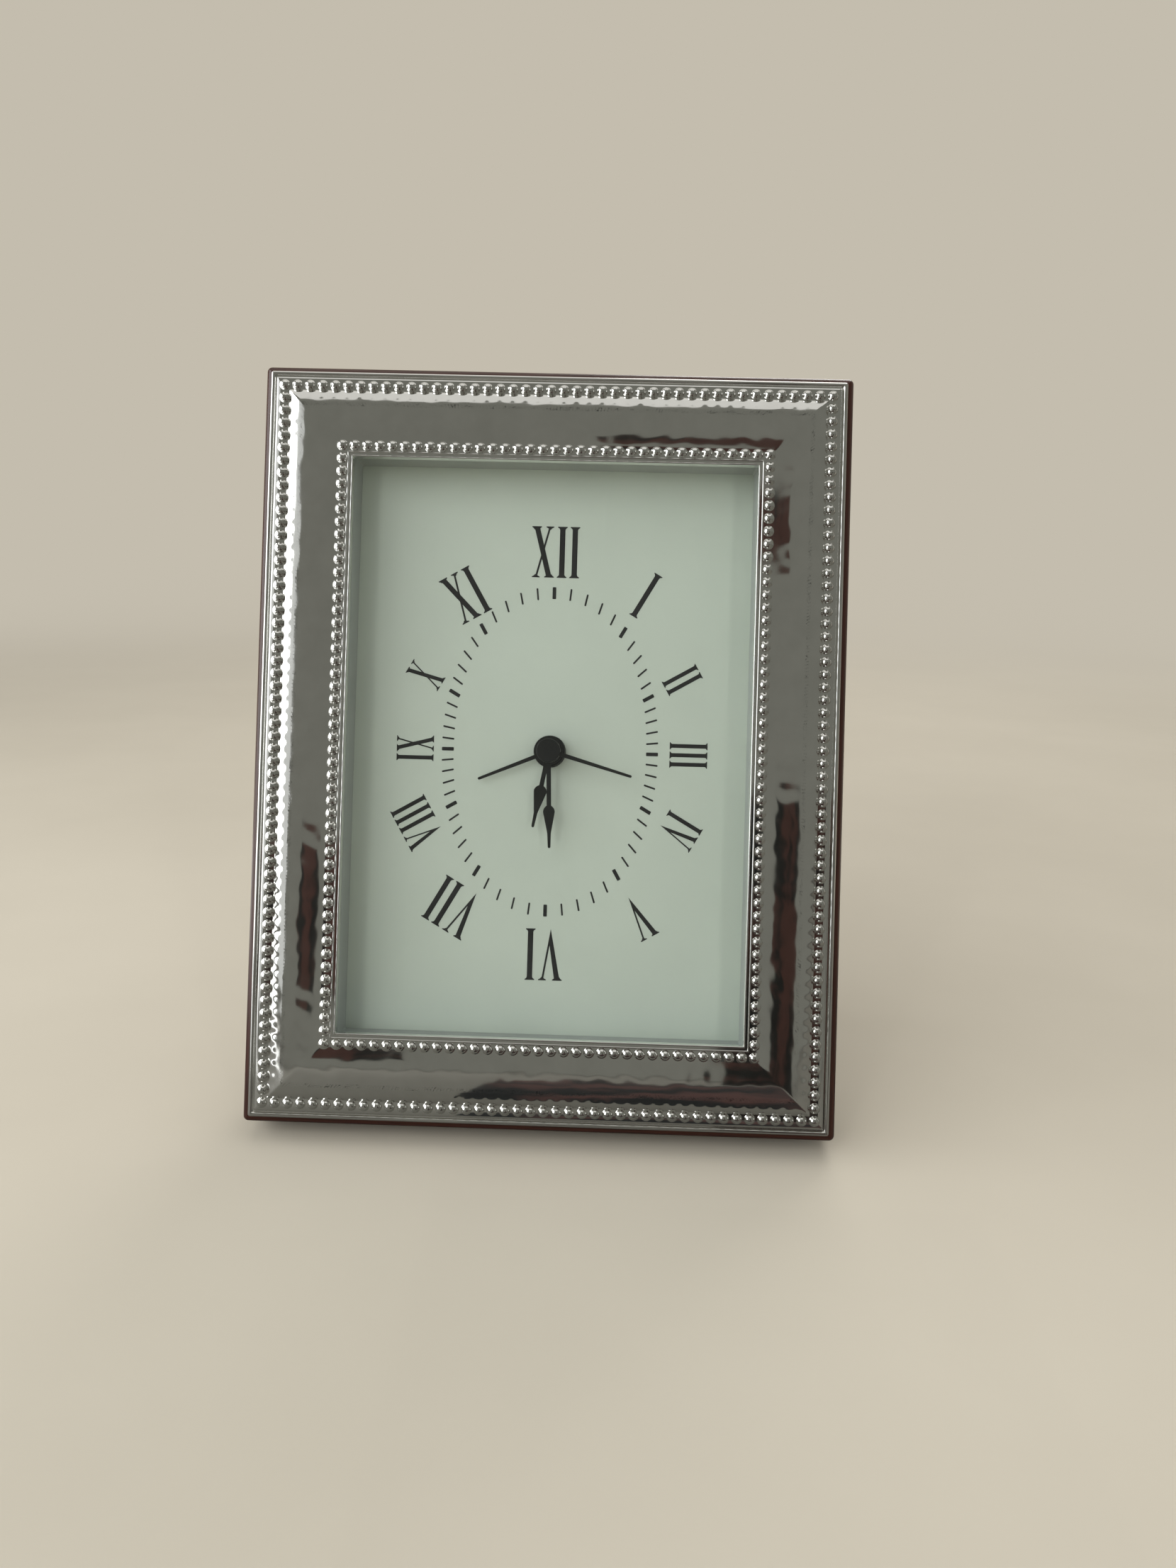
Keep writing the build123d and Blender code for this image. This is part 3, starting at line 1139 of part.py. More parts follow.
def easel_strut():
    """Tapered open strut that folds round the movement."""
    low = HINGE_Y - strut_length()
    foot_line = low + STRUT_THICKNESS + STRUT_FOOT_BAR
    outside = trapezoid(STRUT_TOP, low, STRUT_TOP_WIDTH, STRUT_BOTTOM_WIDTH)
    outside = fillet(outside.vertices().group_by(Axis.Y)[-1], STRUT_CORNER)
    taper = (STRUT_BOTTOM_WIDTH - STRUT_TOP_WIDTH) / (STRUT_TOP - low)
    window_top_width = STRUT_TOP_WIDTH + taper * STRUT_TOP_BAR - 2 * STRUT_LEG
    window_bottom_width = STRUT_BOTTOM_WIDTH - taper * (foot_line - low) - 2 * STRUT_LEG
    window = trapezoid(STRUT_WINDOW_TOP, foot_line, window_top_width, window_bottom_width)
    window = fillet(window.vertices(), STRUT_CORNER)
    strut = Pos(0, 0, STRUT_FRONT - STRUT_THICKNESS) * extrude(outside - window, STRUT_THICKNESS)
    half = HINGE_WIDTH / 2 + KNUCKLE_PLAY
    seat_low = STRUT_TOP - HINGE_STRUT_LEAF_HEIGHT - KNUCKLE_PLAY
    seat = block((-half, half), (seat_low, STRUT_TOP), (LEAF_SEAT, STRUT_FRONT))
    depth = HINGE_SCREW[3] - HINGE_LEAF
    return strut - seat - screw_holes(hinge_screw_places()[1], HINGE_SCREW, (LEAF_SEAT - depth, LEAF_SEAT))


def panel_hinge_screws():
    shank, head, height, length = HINGE_SCREW
    sizes = (shank, head, height, length - SCREW_HOLE_PLAY)
    return Compound([screw(place, FRAME_BACK - HINGE_LEAF, sizes) for place in hinge_screw_places()[0]])


def strut_hinge_screws():
    """The same screws, driven backward into the strut."""
    shank, head, height, length = HINGE_SCREW
    sizes = (shank, head, height, length - SCREW_HOLE_PLAY)
    seat = LEAF_SEAT + HINGE_LEAF
    turned = [Pos(x, y, seat) * Rot(0, 180, 0) * screw(CENTRE, 0, sizes) for x, y in hinge_screw_places()[1]]
    return Compound(turned)


def lying_pieces():
    """Every node by name, lying on its back, with the strut already open."""
    pieces = {
        "silver_facing": silver_facing(),
        "wood_frame": wood_frame(),
        "glass_pane": glass_pane(),
        "spacer_frame": spacer_frame(),
        "dial_card": dial_card(),
        "dial_board": dial_board(),
        "packing_frame": packing_frame(),
        "back_panel": back_panel(),
        "turn_button_screws": turn_button_screws(),
        "movement_front_case": front_case(),
        "movement_rear_case": rear_case(),
        "movement_screws": movement_screws(),
        "rotor": rotor(),
        "stator": stator(),
        "coil": coil(),
        "circuit_board": circuit_board(),
        "intermediate_wheel": intermediate_wheel(),
        "second_wheel": second_wheel(),
        "third_wheel": third_wheel(),
        "minute_wheel": minute_wheel(),
        "motion_wheel": motion_wheel(),
        "hour_wheel": hour_wheel(),
        "alarm_wheel": alarm_wheel(),
        "time_setting_arbor": time_setting_arbor(),
        "time_setting_knob": knob(SET_KNOB_AXIS),
        "alarm_setting_arbor": alarm_setting_arbor(),
        "alarm_setting_knob": knob(ALARM_KNOB_AXIS),
        "alarm_slide": alarm_slide(),
        "sounder": sounder(),
        "battery": battery(),
        "positive_contact": positive_contact(),
        "negative_contact": negative_contact(),
        "alarm_hand": alarm_hand(),
        "hour_hand": hour_hand(),
        "minute_hand": minute_hand(),
        "second_hand": second_hand(),
        "hinge_leaf_panel": panel_hinge_leaf(),
        "hinge_pin": hinge_pin(),
        "hinge_screws_panel": panel_hinge_screws(),
        "easel_strut": open_strut(easel_strut()),
        "hinge_leaf_strut": open_strut(strut_hinge_leaf()),
        "hinge_screws_strut": open_strut(strut_hinge_screws()),
    }
    for number, (pivot, direction) in enumerate(button_pivots(), 1):
        pieces[f"turn_button_{number}"] = turn_button(pivot, direction)
    return pieces


def standing_pieces():
    """Stands the clock on the floor, trims the strut's foot level and centres all over the origin."""
    floor = -WOOD_HEIGHT / 2 * cos(radians(LEAN)) + FRAME_BACK * sin(radians(LEAN))
    upright = Pos(0, 0, -floor) * Rot(90 - LEAN, 0, 0)
    pieces = {name: upright * shape for name, shape in lying_pieces().items()}
    below_floor = Pos(0, 0, -WOOD_HEIGHT) * Box(2 * WOOD_WIDTH, 4 * WOOD_HEIGHT, 2 * WOOD_HEIGHT)
    pieces["easel_strut"] = pieces["easel_strut"] - below_floor
    boxes = [shape.bounding_box() for shape in pieces.values()]
    middle = (min(box.min.Y for box in boxes) + max(box.max.Y for box in boxes)) / 2
    return {name: Pos(0, -middle, 0) * shape for name, shape in pieces.items()}


os.makedirs("parts", exist_ok=True)
for node, shape in standing_pieces().items():
    export_step(shape, f"parts/{node}.step")
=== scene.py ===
import math

import bmesh
import bpy
from mathutils import Matrix, Vector, noise


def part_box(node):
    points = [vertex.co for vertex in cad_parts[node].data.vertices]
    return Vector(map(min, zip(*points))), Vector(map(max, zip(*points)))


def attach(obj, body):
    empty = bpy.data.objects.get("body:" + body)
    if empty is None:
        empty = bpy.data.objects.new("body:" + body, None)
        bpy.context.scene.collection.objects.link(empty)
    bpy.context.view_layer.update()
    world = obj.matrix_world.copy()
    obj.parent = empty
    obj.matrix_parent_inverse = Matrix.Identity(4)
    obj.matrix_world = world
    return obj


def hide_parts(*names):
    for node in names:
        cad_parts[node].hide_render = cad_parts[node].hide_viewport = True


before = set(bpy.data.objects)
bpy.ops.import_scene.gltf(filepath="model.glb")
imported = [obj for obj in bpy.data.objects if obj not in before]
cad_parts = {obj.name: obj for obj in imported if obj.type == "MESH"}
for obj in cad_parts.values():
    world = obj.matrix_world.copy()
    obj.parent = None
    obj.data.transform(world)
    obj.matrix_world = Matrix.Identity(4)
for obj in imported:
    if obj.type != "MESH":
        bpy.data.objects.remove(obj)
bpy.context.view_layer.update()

# Looks of the photo frame clock. Shapes are drawn lying on their back, in millimetres: X right, Y up,
# Z towards the viewer, dial face at Z = 0. STAND then carries them to where the clock stands.
MM = 0.001
LEAN = 14.0
WOOD_WIDTH, WOOD_HEIGHT = 130.0, 167.2
SILVER_WIDTH, SILVER_HEIGHT = 126.6, 163.8
BORDER = 19.2
WOOD_MARGIN = WOOD_WIDTH / 2 - SILVER_WIDTH / 2
FRAME_BACK = -10.0
PANEL_FRONT = -7.5
GLASS_FRONT = 10.2
REBATE = 18.25
PANEL_SEAT = 16.5
WOOD_TURN, WOOD_ROUND, WOOD_GAP = 6.4, 0.55, 0.02
WOOD_CORNER, WOOD_CORNER_STEPS, WOOD_SIDE_STEPS = 1.2, 6, (24, 20)
BACK_ROUND, BACK_EASE = 0.5, 0.2

# Silver section: levels above the dial, and insets from the silver's outer edge
EDGE = 8.6
RIM_FOOT = 9.6
CHANNEL = 10.5
BAND = 11.8
SEAT = 11.95
SHEET = 0.5
RIM_WIDTH, RIM_RISE = 1.05, 0.52
GROOVE_END, FILLET_END, FILLET_ROUND = 1.35, 1.85, 0.2
SHOULDER_FOOT = (4.35, CHANNEL)
SHOULDER_KNEE = (5.75, 11.38)
SHOULDER_TOP = (7.3, BAND)
SHOULDER_ROUND, SHOULDER_EASE = 0.09, 0.02
BAND_CROWN = 0.3
BAND_END = (15.9, SEAT)
LIP_FOOT = GLASS_FRONT + 0.1
LIP_START = 18.15
SIGHT_SETBACK = 0.7
LIP_RIDGE, LIP_RIDGE_SHARE = 0.18, 0.95
SILVER_CORNER = 0.5
RIM_CORNER_STEPS, RIM_SIDE_STEPS = 3, (400, 310)
BAND_CORNER_STEPS, BAND_SIDE_STEPS = 1, (210, 160)
CROWN_STEPS, RIM_OVERLAP_STEPS = 20, 2

# Waves of the pressed sheet: size, length along the sheet, and the span of insets where they show
SCALLOP_SIZE, SCALLOP_SPAN = 0.03, (4.6, 6.4)
SWAY_SIZE, SWAY_LENGTH, SWAY_SPAN = 0.18, 3.6, (4.9, 8.4)
FINE_SIZE, FINE_LENGTH, FINE_LAYER = 0.045, 3.0, Vector((0, 0, 3.1))
BROAD_SIZE, BROAD_LENGTH, BROAD_LAYER = 0.035, 9.0, Vector((0, 0, 7.7))
WAVE_SPAN = (7.6, 15.9)
CORNER_FADE = 4.0
BELL_POWER = 0.7

# Bead rows: inset from the silver's edge, radius, and level of the floor they stand on.
# The hollow at a bead's foot: shares of its radius, and heights above that floor.
BEAD_HEIGHT = 0.95
BEAD_SIDES, BEAD_RINGS = 20, 7
BEAD_HOLLOW_TURN = math.radians(6)
BEAD_HOLLOW = ((1.05, 0.02), (1.16, -0.05))
BEAD_ROWS = ((3.3, 1.1, CHANNEL), (16.75, 1.12, SEAT))
BEAD_SPACING = 2.76

# Dial print
TRACK_HALF_WIDTH, TRACK_HALF_HEIGHT, TRACK_POWER = 23.1, 35.9, 2.15
TICK_LENGTH, TICK_WIDTH, FIVE_TICK_WIDTH = 2.7, 0.40, 0.82
TICK_CORNER = 0.1
PRINT_TOP, PRINT_SINK, PRINT_STEP = 0.03, -0.1, 0.001
NUMERALS = (
    ("XII", 45.2, 11.6), ("I", 41.4, 11.0), ("II", 34.0, 8.6), ("III", 31.3, 8.5), ("IV", 34.3, 8.7),
    ("V", 42.5, 10.2), ("VI", 45.8, 11.6), ("VII", 41.4, 11.0), ("VIII", 34.0, 8.6), ("IX", 30.5, 8.4),
    ("X", 33.1, 8.4), ("XI", 40.3, 11.3),
)

# Strokes of a letter, in shares of its height. Widths and pitch are between the middles of strokes.
STEM, HAIR = 0.105, 0.038
STEM_SERIF, HAIR_SERIF = 0.042, 0.058
SERIF_THICK, SERIF_BRACKET, SERIF_STEPS = 0.028, 0.035, 4
LETTER_WIDTHS = {"I": 0.0, "X": 0.26, "V": 0.29}
LETTER_PITCH = 0.245
CROTCH_SHIFT, CROTCH_RISE = 0.017, 0.32

# Camera as fitted to the photo: place in front of the frame, turns in degrees, focal length in its pixels
CAMERA_PLACE = (14.56, -10.36, 266.43)
CAMERA_TURNS = (-0.71, 1.23, 1.64)
FOCAL_PIXELS, PHOTO_HEIGHT, SENSOR = 1661.0, 2212.0, 36.0
CLIP_START = 0.005

# Floor and backdrop in metres: front edge, start and radius of the bend, top, half width, and where the floor
# fades to the background colour and is mirrored darker
FLOOR_FRONT, BEND_START, BEND_RADIUS, BEND_STEPS = -3.0, 0.9, 0.6, 12
BACKDROP_TOP, FLOOR_HALF_WIDTH = 3.2, 4.0
FADE_START, FADE_END = 0.35, 1.3
DARK_FLOOR_START, DARK_FLOOR_FULL = 0.12, 0.0

# Dark cards in front of the clock: left, right, low and high edge, and distance from the dial. The one on the
# floor: left, right, near and far edge, and height.
DARK_CARDS = ((-150, -74, -100, -31, 265), (62, 158, -170, -6, 265), (8, 88, 94, 124, 265))
FLOOR_CARD = (-20, 90, 60, 260, 0.5)

# Lamps: name, place in metres, turns in degrees, width, height, power, colour, and whether metal mirrors them
DAYLIGHT, WARM = (0.97, 0.99, 1.0), (1.0, 0.985, 0.96)
LAMPS = (
    ("window", (-0.75, -0.24, 0.44), (0, -90, 0), 0.78, 0.78, 5.0, DAYLIGHT, True),
    ("window_haze", (-0.75, -0.84, 0.44), (0, -90, 0), 0.78, 0.42, 0.45, DAYLIGHT, True),
    ("reflector", (-0.42, -0.05, 0.01), (180, 0, 0), 0.5, 0.4, 0.8, DAYLIGHT, True),
    ("overhead", (0.0, 0.1, 1.6), (0, 0, 0), 1.8, 1.8, 5.0, WARM, True),
    ("behind", (0.35, 0.95, 0.95), (-52, 0, -12), 0.7, 0.5, 5.0, WARM, True),
    ("fill", (0.95, -0.32, 0.42), (0, 90, 0), 0.75, 0.95, 0.8, WARM, False),
    ("soft_box", (-0.55, -0.95, 0.75), (62, 0, -30), 0.8, 0.8, 5.8, DAYLIGHT, False),
    ("front_left", (-0.33, -0.87, 0.33), (76, 0, 0), 0.07, 0.5, 0.9, WARM, False),
    ("front_right", (0.36, -0.87, 0.33), (76, 0, 0), 0.07, 0.5, 0.9, WARM, False),
)

lean = math.radians(LEAN)
back_reach = (WOOD_HEIGHT / 2 * math.sin(lean) - FRAME_BACK * math.cos(lean)) * MM
rise = (WOOD_HEIGHT / 2 * math.cos(lean) - FRAME_BACK * math.sin(lean)) * MM
upright = Matrix.Rotation(math.radians(90) - lean, 4, "X")
STAND = Matrix.Translation((0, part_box("wood_frame")[1].y - back_reach, rise)) @ upright @ Matrix.Scale(MM, 4)


# Helpers for nodes, objects and colours

def new_material(name):
    material = bpy.data.materials.new(name)
    material.use_nodes = True
    tree = material.node_tree
    return material, tree, tree.nodes["Principled BSDF"]


def add_node(tree, kind, **values):
    """New shader node with its plain attributes and its inputs set by name."""
    node = tree.nodes.new(kind)
    for name, value in values.items():
        if name in node.inputs:
            node.inputs[name].default_value = value
        else:
            setattr(node, name, value)
    return node


def coordinates(tree, source, scale, turn=(0, 0, 0)):
    """Texture coordinates stretched by a scale on each axis."""
    start = tree.nodes.new("ShaderNodeTexCoord")
    mapping = add_node(tree, "ShaderNodeMapping", Scale=scale, Rotation=turn)
    tree.links.new(start.outputs[source], mapping.inputs["Vector"])
    return mapping.outputs["Vector"]


def noise_field(tree, vector, size, detail=4.0, roughness=0.55, distortion=0.0):
    values = {"Scale": size, "Detail": detail, "Roughness": roughness, "Distortion": distortion}
    node = add_node(tree, "ShaderNodeTexNoise", **values)
    tree.links.new(vector, node.inputs["Vector"])
    return node.outputs["Fac"]


def ramp(tree, factor, stops):
    """Colour ramp from (position, colour) stops."""
    node = tree.nodes.new("ShaderNodeValToRGB")
    elements = node.color_ramp.elements
    while len(elements) < len(stops):
        elements.new(0.5)
    for element, (position, colour) in zip(elements, stops):
        element.position = position
        element.color = (*colour, 1.0)
    tree.links.new(factor, node.inputs["Fac"])
    return node.outputs["Color"]


def spread(tree, factor, low, high):
    """Stretches a 0 to 1 field to a range of values."""
    node = add_node(tree, "ShaderNodeMapRange", **{"To Min": low, "To Max": high})
    tree.links.new(factor, node.inputs["Value"])
    return node.outputs["Result"]


def bump(tree, shader, height, distance, strength=1.0):
    node = add_node(tree, "ShaderNodeBump", Strength=strength, Distance=distance)
    tree.links.new(height, node.inputs["Height"])
    tree.links.new(node.outputs["Normal"], shader.inputs["Normal"])


def math_node(tree, operation, first, second):
    node = add_node(tree, "ShaderNodeMath", operation=operation)
    tree.links.new(first, node.inputs[0])
    tree.links.new(second, node.inputs[1])
    return node.outputs["Value"]


def mix_shaders(tree, factor, first, second):
    """First shader where the factor is 0, second where it is 1."""
    node = tree.nodes.new("ShaderNodeMixShader")
    tree.links.new(factor, node.inputs["Fac"])
    tree.links.new(first, node.inputs[1])
    tree.links.new(second, node.inputs[2])
    return node.outputs["Shader"]


def add_object(name, data):
    item = bpy.data.objects.new(name, data)
    bpy.context.scene.collection.objects.link(item)
    return item


def srgb(red, green, blue):
    """Linear colour of an 8-bit screen colour."""
    values = [channel / 255 for channel in (red, green, blue)]
    return tuple(v / 12.92 if v <= 0.04045 else ((v + 0.055) / 1.055) ** 2.4 for v in values)


# Colours of the room: seen behind the clock, mirrored from in front of it and from behind it, and its light
BACKGROUND = srgb(196, 189, 174)
DIM_ROOM = (0.150, 0.150, 0.130)
LIGHT_ROOM = (0.60, 0.59, 0.55)
ROOM_LIGHT, ROOM_STRENGTH = (0.99, 1.0, 0.985), 0.42
GLASS_TINT = (0.992, 0.997, 0.994, 1)


# Materials

def silver_material():
    """Polished silver with faint cleaning marks."""
    material, tree, shader = new_material("polished_silver_look")
    shader.inputs["Metallic"].default_value = 1.0
    field = noise_field(tree, coordinates(tree, "Object", (60, 60, 60)), size=3.0, detail=5.0)
    stretched = coordinates(tree, "Object", scale=(900, 2500, 900), turn=(0.4, 0.2, 0.5))
    marks = noise_field(tree, stretched, size=1.0, detail=3.0)
    tree.links.new(ramp(tree, field, ((0.3, (0.86, 0.855, 0.83)), (0.7, (0.93, 0.925, 0.90)))),
                   shader.inputs["Base Color"])
    tree.links.new(spread(tree, field, low=0.05, high=0.11), shader.inputs["Roughness"])
    bump(tree, shader, marks, distance=0.000004, strength=0.25)
    return material


def wood_material(name, source, scale, dark, light, coat):
    """Dark lacquered wood with long grain and fine pores."""
    material, tree, shader = new_material(name)
    vector = coordinates(tree, source, scale)
    grain = noise_field(tree, vector, size=1.0, detail=6.0, roughness=0.6, distortion=0.6)
    pores = noise_field(tree, vector, size=7.0, detail=3.0, roughness=0.7)
    colour = ramp(tree, grain, ((0.28, dark), (0.52, light), (0.74, dark)))
    tree.links.new(colour, shader.inputs["Base Color"])
    tree.links.new(spread(tree, pores, low=0.22, high=0.42), shader.inputs["Roughness"])
    shader.inputs["Coat Weight"].default_value = coat
    shader.inputs["Coat Roughness"].default_value = 0.2
    bump(tree, shader, pores, distance=0.00003, strength=0.35)
    return material


def metal_material(name, dark, light, rough, brush):
    """Plain metal with fine marks along one direction."""
    material, tree, shader = new_material(name)
    shader.inputs["Metallic"].default_value = 1.0
    cloud = noise_field(tree, coordinates(tree, "Object", (120, 120, 120)), size=2.0, detail=4.0)
    lines = noise_field(tree, coordinates(tree, "Object", brush), size=1.0, detail=3.0)
    tree.links.new(ramp(tree, cloud, ((0.3, dark), (0.7, light))), shader.inputs["Base Color"])
    tree.links.new(spread(tree, lines, low=rough * 0.75, high=rough * 1.3), shader.inputs["Roughness"])
    bump(tree, shader, lines, distance=0.00001, strength=0.4)
    return material


def plastic_material(name, dark, light, rough, grain):
    """Moulded plastic with a fine eroded texture."""
    material, tree, shader = new_material(name)
    vector = coordinates(tree, "Object", (1000, 1000, 1000))
    texture = noise_field(tree, vector, size=grain, detail=3.0, roughness=0.6)
    cloud = noise_field(tree, coordinates(tree, "Object", (90, 90, 90)), size=1.5, detail=3.0)
    tree.links.new(ramp(tree, cloud, ((0.3, dark), (0.7, light))), shader.inputs["Base Color"])
    tree.links.new(spread(tree, texture, low=rough * 0.85, high=rough * 1.15), shader.inputs["Roughness"])
    bump(tree, shader, texture, distance=0.00002, strength=0.35)
    return material


def card_material(name, dark, light, rough, depth):
    """Paper or board with fine fibres."""
    material, tree, shader = new_material(name)
    stretched = coordinates(tree, "Object", (700, 700, 2200))
    fibre = noise_field(tree, stretched, size=1.0, detail=5.0, roughness=0.65, distortion=0.4)
    cloud = noise_field(tree, coordinates(tree, "Object", (45, 45, 45)), size=1.0, detail=3.0)
    tree.links.new(ramp(tree, cloud, ((0.25, dark), (0.75, light))), shader.inputs["Base Color"])
    tree.links.new(spread(tree, fibre, low=rough * 0.9, high=rough * 1.1), shader.inputs["Roughness"])
    bump(tree, shader, fibre, distance=depth, strength=0.3)
    return material


def glass_material():
    """Clear pane that lets the light through to the dial."""
    material, tree, shader = new_material("clear_glass_look")
    shader.inputs["Base Color"].default_value = GLASS_TINT
    shader.inputs["Roughness"].default_value = 0.0
    shader.inputs["IOR"].default_value = 1.5
    shader.inputs["Specular IOR Level"].default_value = 0.3
    shader.inputs["Transmission Weight"].default_value = 1.0
    smear = noise_field(tree, coordinates(tree, "Object", (30, 30, 30)), size=1.0, detail=4.0)
    bump(tree, shader, smear, distance=0.000002, strength=0.1)
    clear = add_node(tree, "ShaderNodeBsdfTransparent", Color=GLASS_TINT)
    path = tree.nodes.new("ShaderNodeLightPath")
    either = math_node(tree, "MAXIMUM", path.outputs["Is Shadow Ray"], path.outputs["Is Diffuse Ray"])
    mix = mix_shaders(tree, either, shader.outputs["BSDF"], clear.outputs["BSDF"])
    tree.links.new(mix, tree.nodes["Material Output"].inputs["Surface"])
    return material


# Looks by short name. Wood: texture coordinates and scale, two colours, coat.
# Card: two colours, roughness, depth of the fibres. Metal: two colours, roughness, scale of the marks.
# Plastic: two colours, roughness, size of the grain.
MATERIALS = {
    "silver": silver_material(),
    "wood": wood_material("lacquered_wood", "UV", (0.045, 1.6, 1.0), srgb(30, 13, 9), srgb(60, 28, 19), 0.12),
    "strut_wood": wood_material(
        "strut_wood", "Object", (700, 700, 28), srgb(42, 20, 13), srgb(92, 46, 30), 0.6
    ),
    "panel": wood_material("panel_wood", "Object", (520, 520, 22), srgb(56, 31, 21), srgb(92, 55, 38), 0.15),
    "glass": glass_material(),
    # Painted shade: the spacer is white card like the dial paper, but it is coloured the darker grey of its
    # shaded walls.
    "spacer": card_material("spacer_board_painted_shade", srgb(146, 152, 147), srgb(154, 160, 155), 0.7, 0.00003),
    "dial": card_material("dial_paper_look", srgb(170, 180, 168), srgb(175, 185, 173), 0.45, 0.000006),
    "board": card_material("grey_board_look", srgb(150, 142, 128), srgb(166, 158, 143), 0.85, 0.00006),
    "ink": plastic_material("printing_ink", (0.004, 0.004, 0.004), (0.008, 0.008, 0.0085), 0.6, 2.0),
    "hand": plastic_material("hand_lacquer", (0.003, 0.0035, 0.0035), (0.005, 0.006, 0.006), 0.32, 0.4),
    "brass": metal_material("satin_brass", (0.50, 0.33, 0.12), (0.66, 0.46, 0.19), 0.28, (300, 4000, 4000)),
    "steel": metal_material("bright_steel", (0.50, 0.50, 0.49), (0.62, 0.62, 0.61), 0.25, (4000, 300, 4000)),
    "case": plastic_material("case_moulding", (0.020, 0.020, 0.021), (0.030, 0.030, 0.031), 0.45, 3.0),
    "knob": plastic_material("knob_moulding", (0.030, 0.030, 0.032), (0.045, 0.045, 0.047), 0.36, 2.0),
    "wheel": plastic_material("wheel_moulding", srgb(206, 202, 188), srgb(222, 219, 207), 0.35, 1.0),
    "magnet": plastic_material("magnet_moulding", (0.02, 0.02, 0.022), (0.035, 0.035, 0.037), 0.45, 3.0),
    "copper": metal_material("copper_winding", (0.45, 0.16, 0.07), (0.60, 0.24, 0.11), 0.3, (6000, 200, 200)),
    "circuit": plastic_material("circuit_laminate", (0.012, 0.07, 0.03), (0.02, 0.10, 0.045), 0.35, 1.5),
    "cell": plastic_material("cell_jacket_look", (0.016, 0.022, 0.035), (0.022, 0.030, 0.046), 0.3, 4.0),
    "slide": plastic_material("slide_moulding", (0.26, 0.012, 0.010), (0.33, 0.018, 0.014), 0.35, 1.0),
}

NODE_LOOKS = {
    "glass_pane": "glass", "spacer_frame": "spacer", "dial_card": "dial", "dial_board": "board",
    "packing_frame": "board", "back_panel": "panel", "easel_strut": "strut_wood",
    "turn_button_1": "brass", "turn_button_2": "brass", "turn_button_3": "brass", "turn_button_4": "brass",
    "turn_button_screws": "brass", "hinge_leaf_panel": "brass", "hinge_leaf_strut": "brass",
    "hinge_screws_panel": "brass", "hinge_screws_strut": "brass", "hinge_pin": "steel",
    "movement_front_case": "case", "movement_rear_case": "case", "movement_screws": "steel",
    "rotor": "magnet", "stator": "steel", "coil": "copper", "circuit_board": "circuit", "sounder": "case",
    "intermediate_wheel": "wheel", "second_wheel": "wheel", "third_wheel": "wheel", "minute_wheel": "wheel",
    "motion_wheel": "wheel", "hour_wheel": "wheel", "alarm_wheel": "wheel", "time_setting_arbor": "wheel",
    "alarm_setting_arbor": "wheel", "time_setting_knob": "knob", "alarm_setting_knob": "knob",
    "alarm_slide": "slide", "battery": "cell", "positive_contact": "steel", "negative_contact": "steel",
    "alarm_hand": "hand", "hour_hand": "hand", "minute_hand": "hand", "second_hand": "hand",
}

# Softened edges of the solids that are seen, in millimetres, and the least angle of an edge that is softened
WELD_DISTANCE, SOFT_SEGMENTS, SOFT_ANGLE = 0.002, 2, math.radians(40)
NODE_EDGES = {
    "back_panel": 0.25, "spacer_frame": 0.4, "easel_strut": 0.6, "turn_button_1": 0.2, "turn_button_2": 0.2,
    "turn_button_3": 0.2, "turn_button_4": 0.2, "hinge_leaf_panel": 0.15, "hinge_leaf_strut": 0.15,
    "movement_rear_case": 0.2, "alarm_hand": 0.1, "hour_hand": 0.12, "minute_hand": 0.12, "second_hand": 0.1,
    "alarm_slide": 0.12,
}


def dress_nodes():
    """Gives every solid its material, and soft edges where they show."""
    for name, look in NODE_LOOKS.items():
        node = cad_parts[name]
        node.data.materials.clear()
        node.data.materials.append(MATERIALS[look])
    for name, width in NODE_EDGES.items():
        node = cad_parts[name]
        weld = node.modifiers.new("weld", "WELD")
        weld.merge_threshold = WELD_DISTANCE * MM
        soft = node.modifiers.new("soft_edges", "BEVEL")
        soft.width = width * MM
        soft.segments = SOFT_SEGMENTS
        soft.limit_method = "ANGLE"
        soft.angle_limit = SOFT_ANGLE


# Mesh helpers

def place_piece(name, build, material, sharp):
    """Turns a drawn shape into a standing piece of the frame."""
    mesh = bpy.data.meshes.new(name)
    build.to_mesh(mesh)
    build.free()
    mesh.transform(STAND)
    mesh.polygons.foreach_set("use_smooth", [True] * len(mesh.polygons))
    mesh.set_sharp_from_angle(angle=math.radians(sharp))
    mesh.materials.append(MATERIALS[material])
    piece = add_object(name, mesh)
    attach(piece, "frame")
    return piece


def arc(start, end, sagitta, steps):
    """Points of a circular arc after its start, bulging to the left of its direction."""
    start, end = Vector(start), Vector(end)
    chord = end - start
    half = chord.length / 2
    side = Vector((-chord.y, chord.x)).normalized()
    radius = (half * half + sagitta * sagitta) / (2 * abs(sagitta))
    sense = 1 if sagitta > 0 else -1
    centre = (start + end) / 2 + side * (sagitta - sense * radius)
    first = math.atan2(start.y - centre.y, start.x - centre.x)
    sweep = -sense * 2 * math.asin(min(1.0, half / radius))
    points = []
    for step in range(1, steps + 1):
        angle = first + sweep * step / steps
        points.append((centre.x + radius * math.cos(angle), centre.y + radius * math.sin(angle)))
    return points


def line(start, end, steps):
    """Evenly spaced points after a line's start."""
    return [
        (start[0] + (end[0] - start[0]) * step / steps, start[1] + (end[1] - start[1]) * step / steps)
        for step in range(1, steps + 1)
    ]


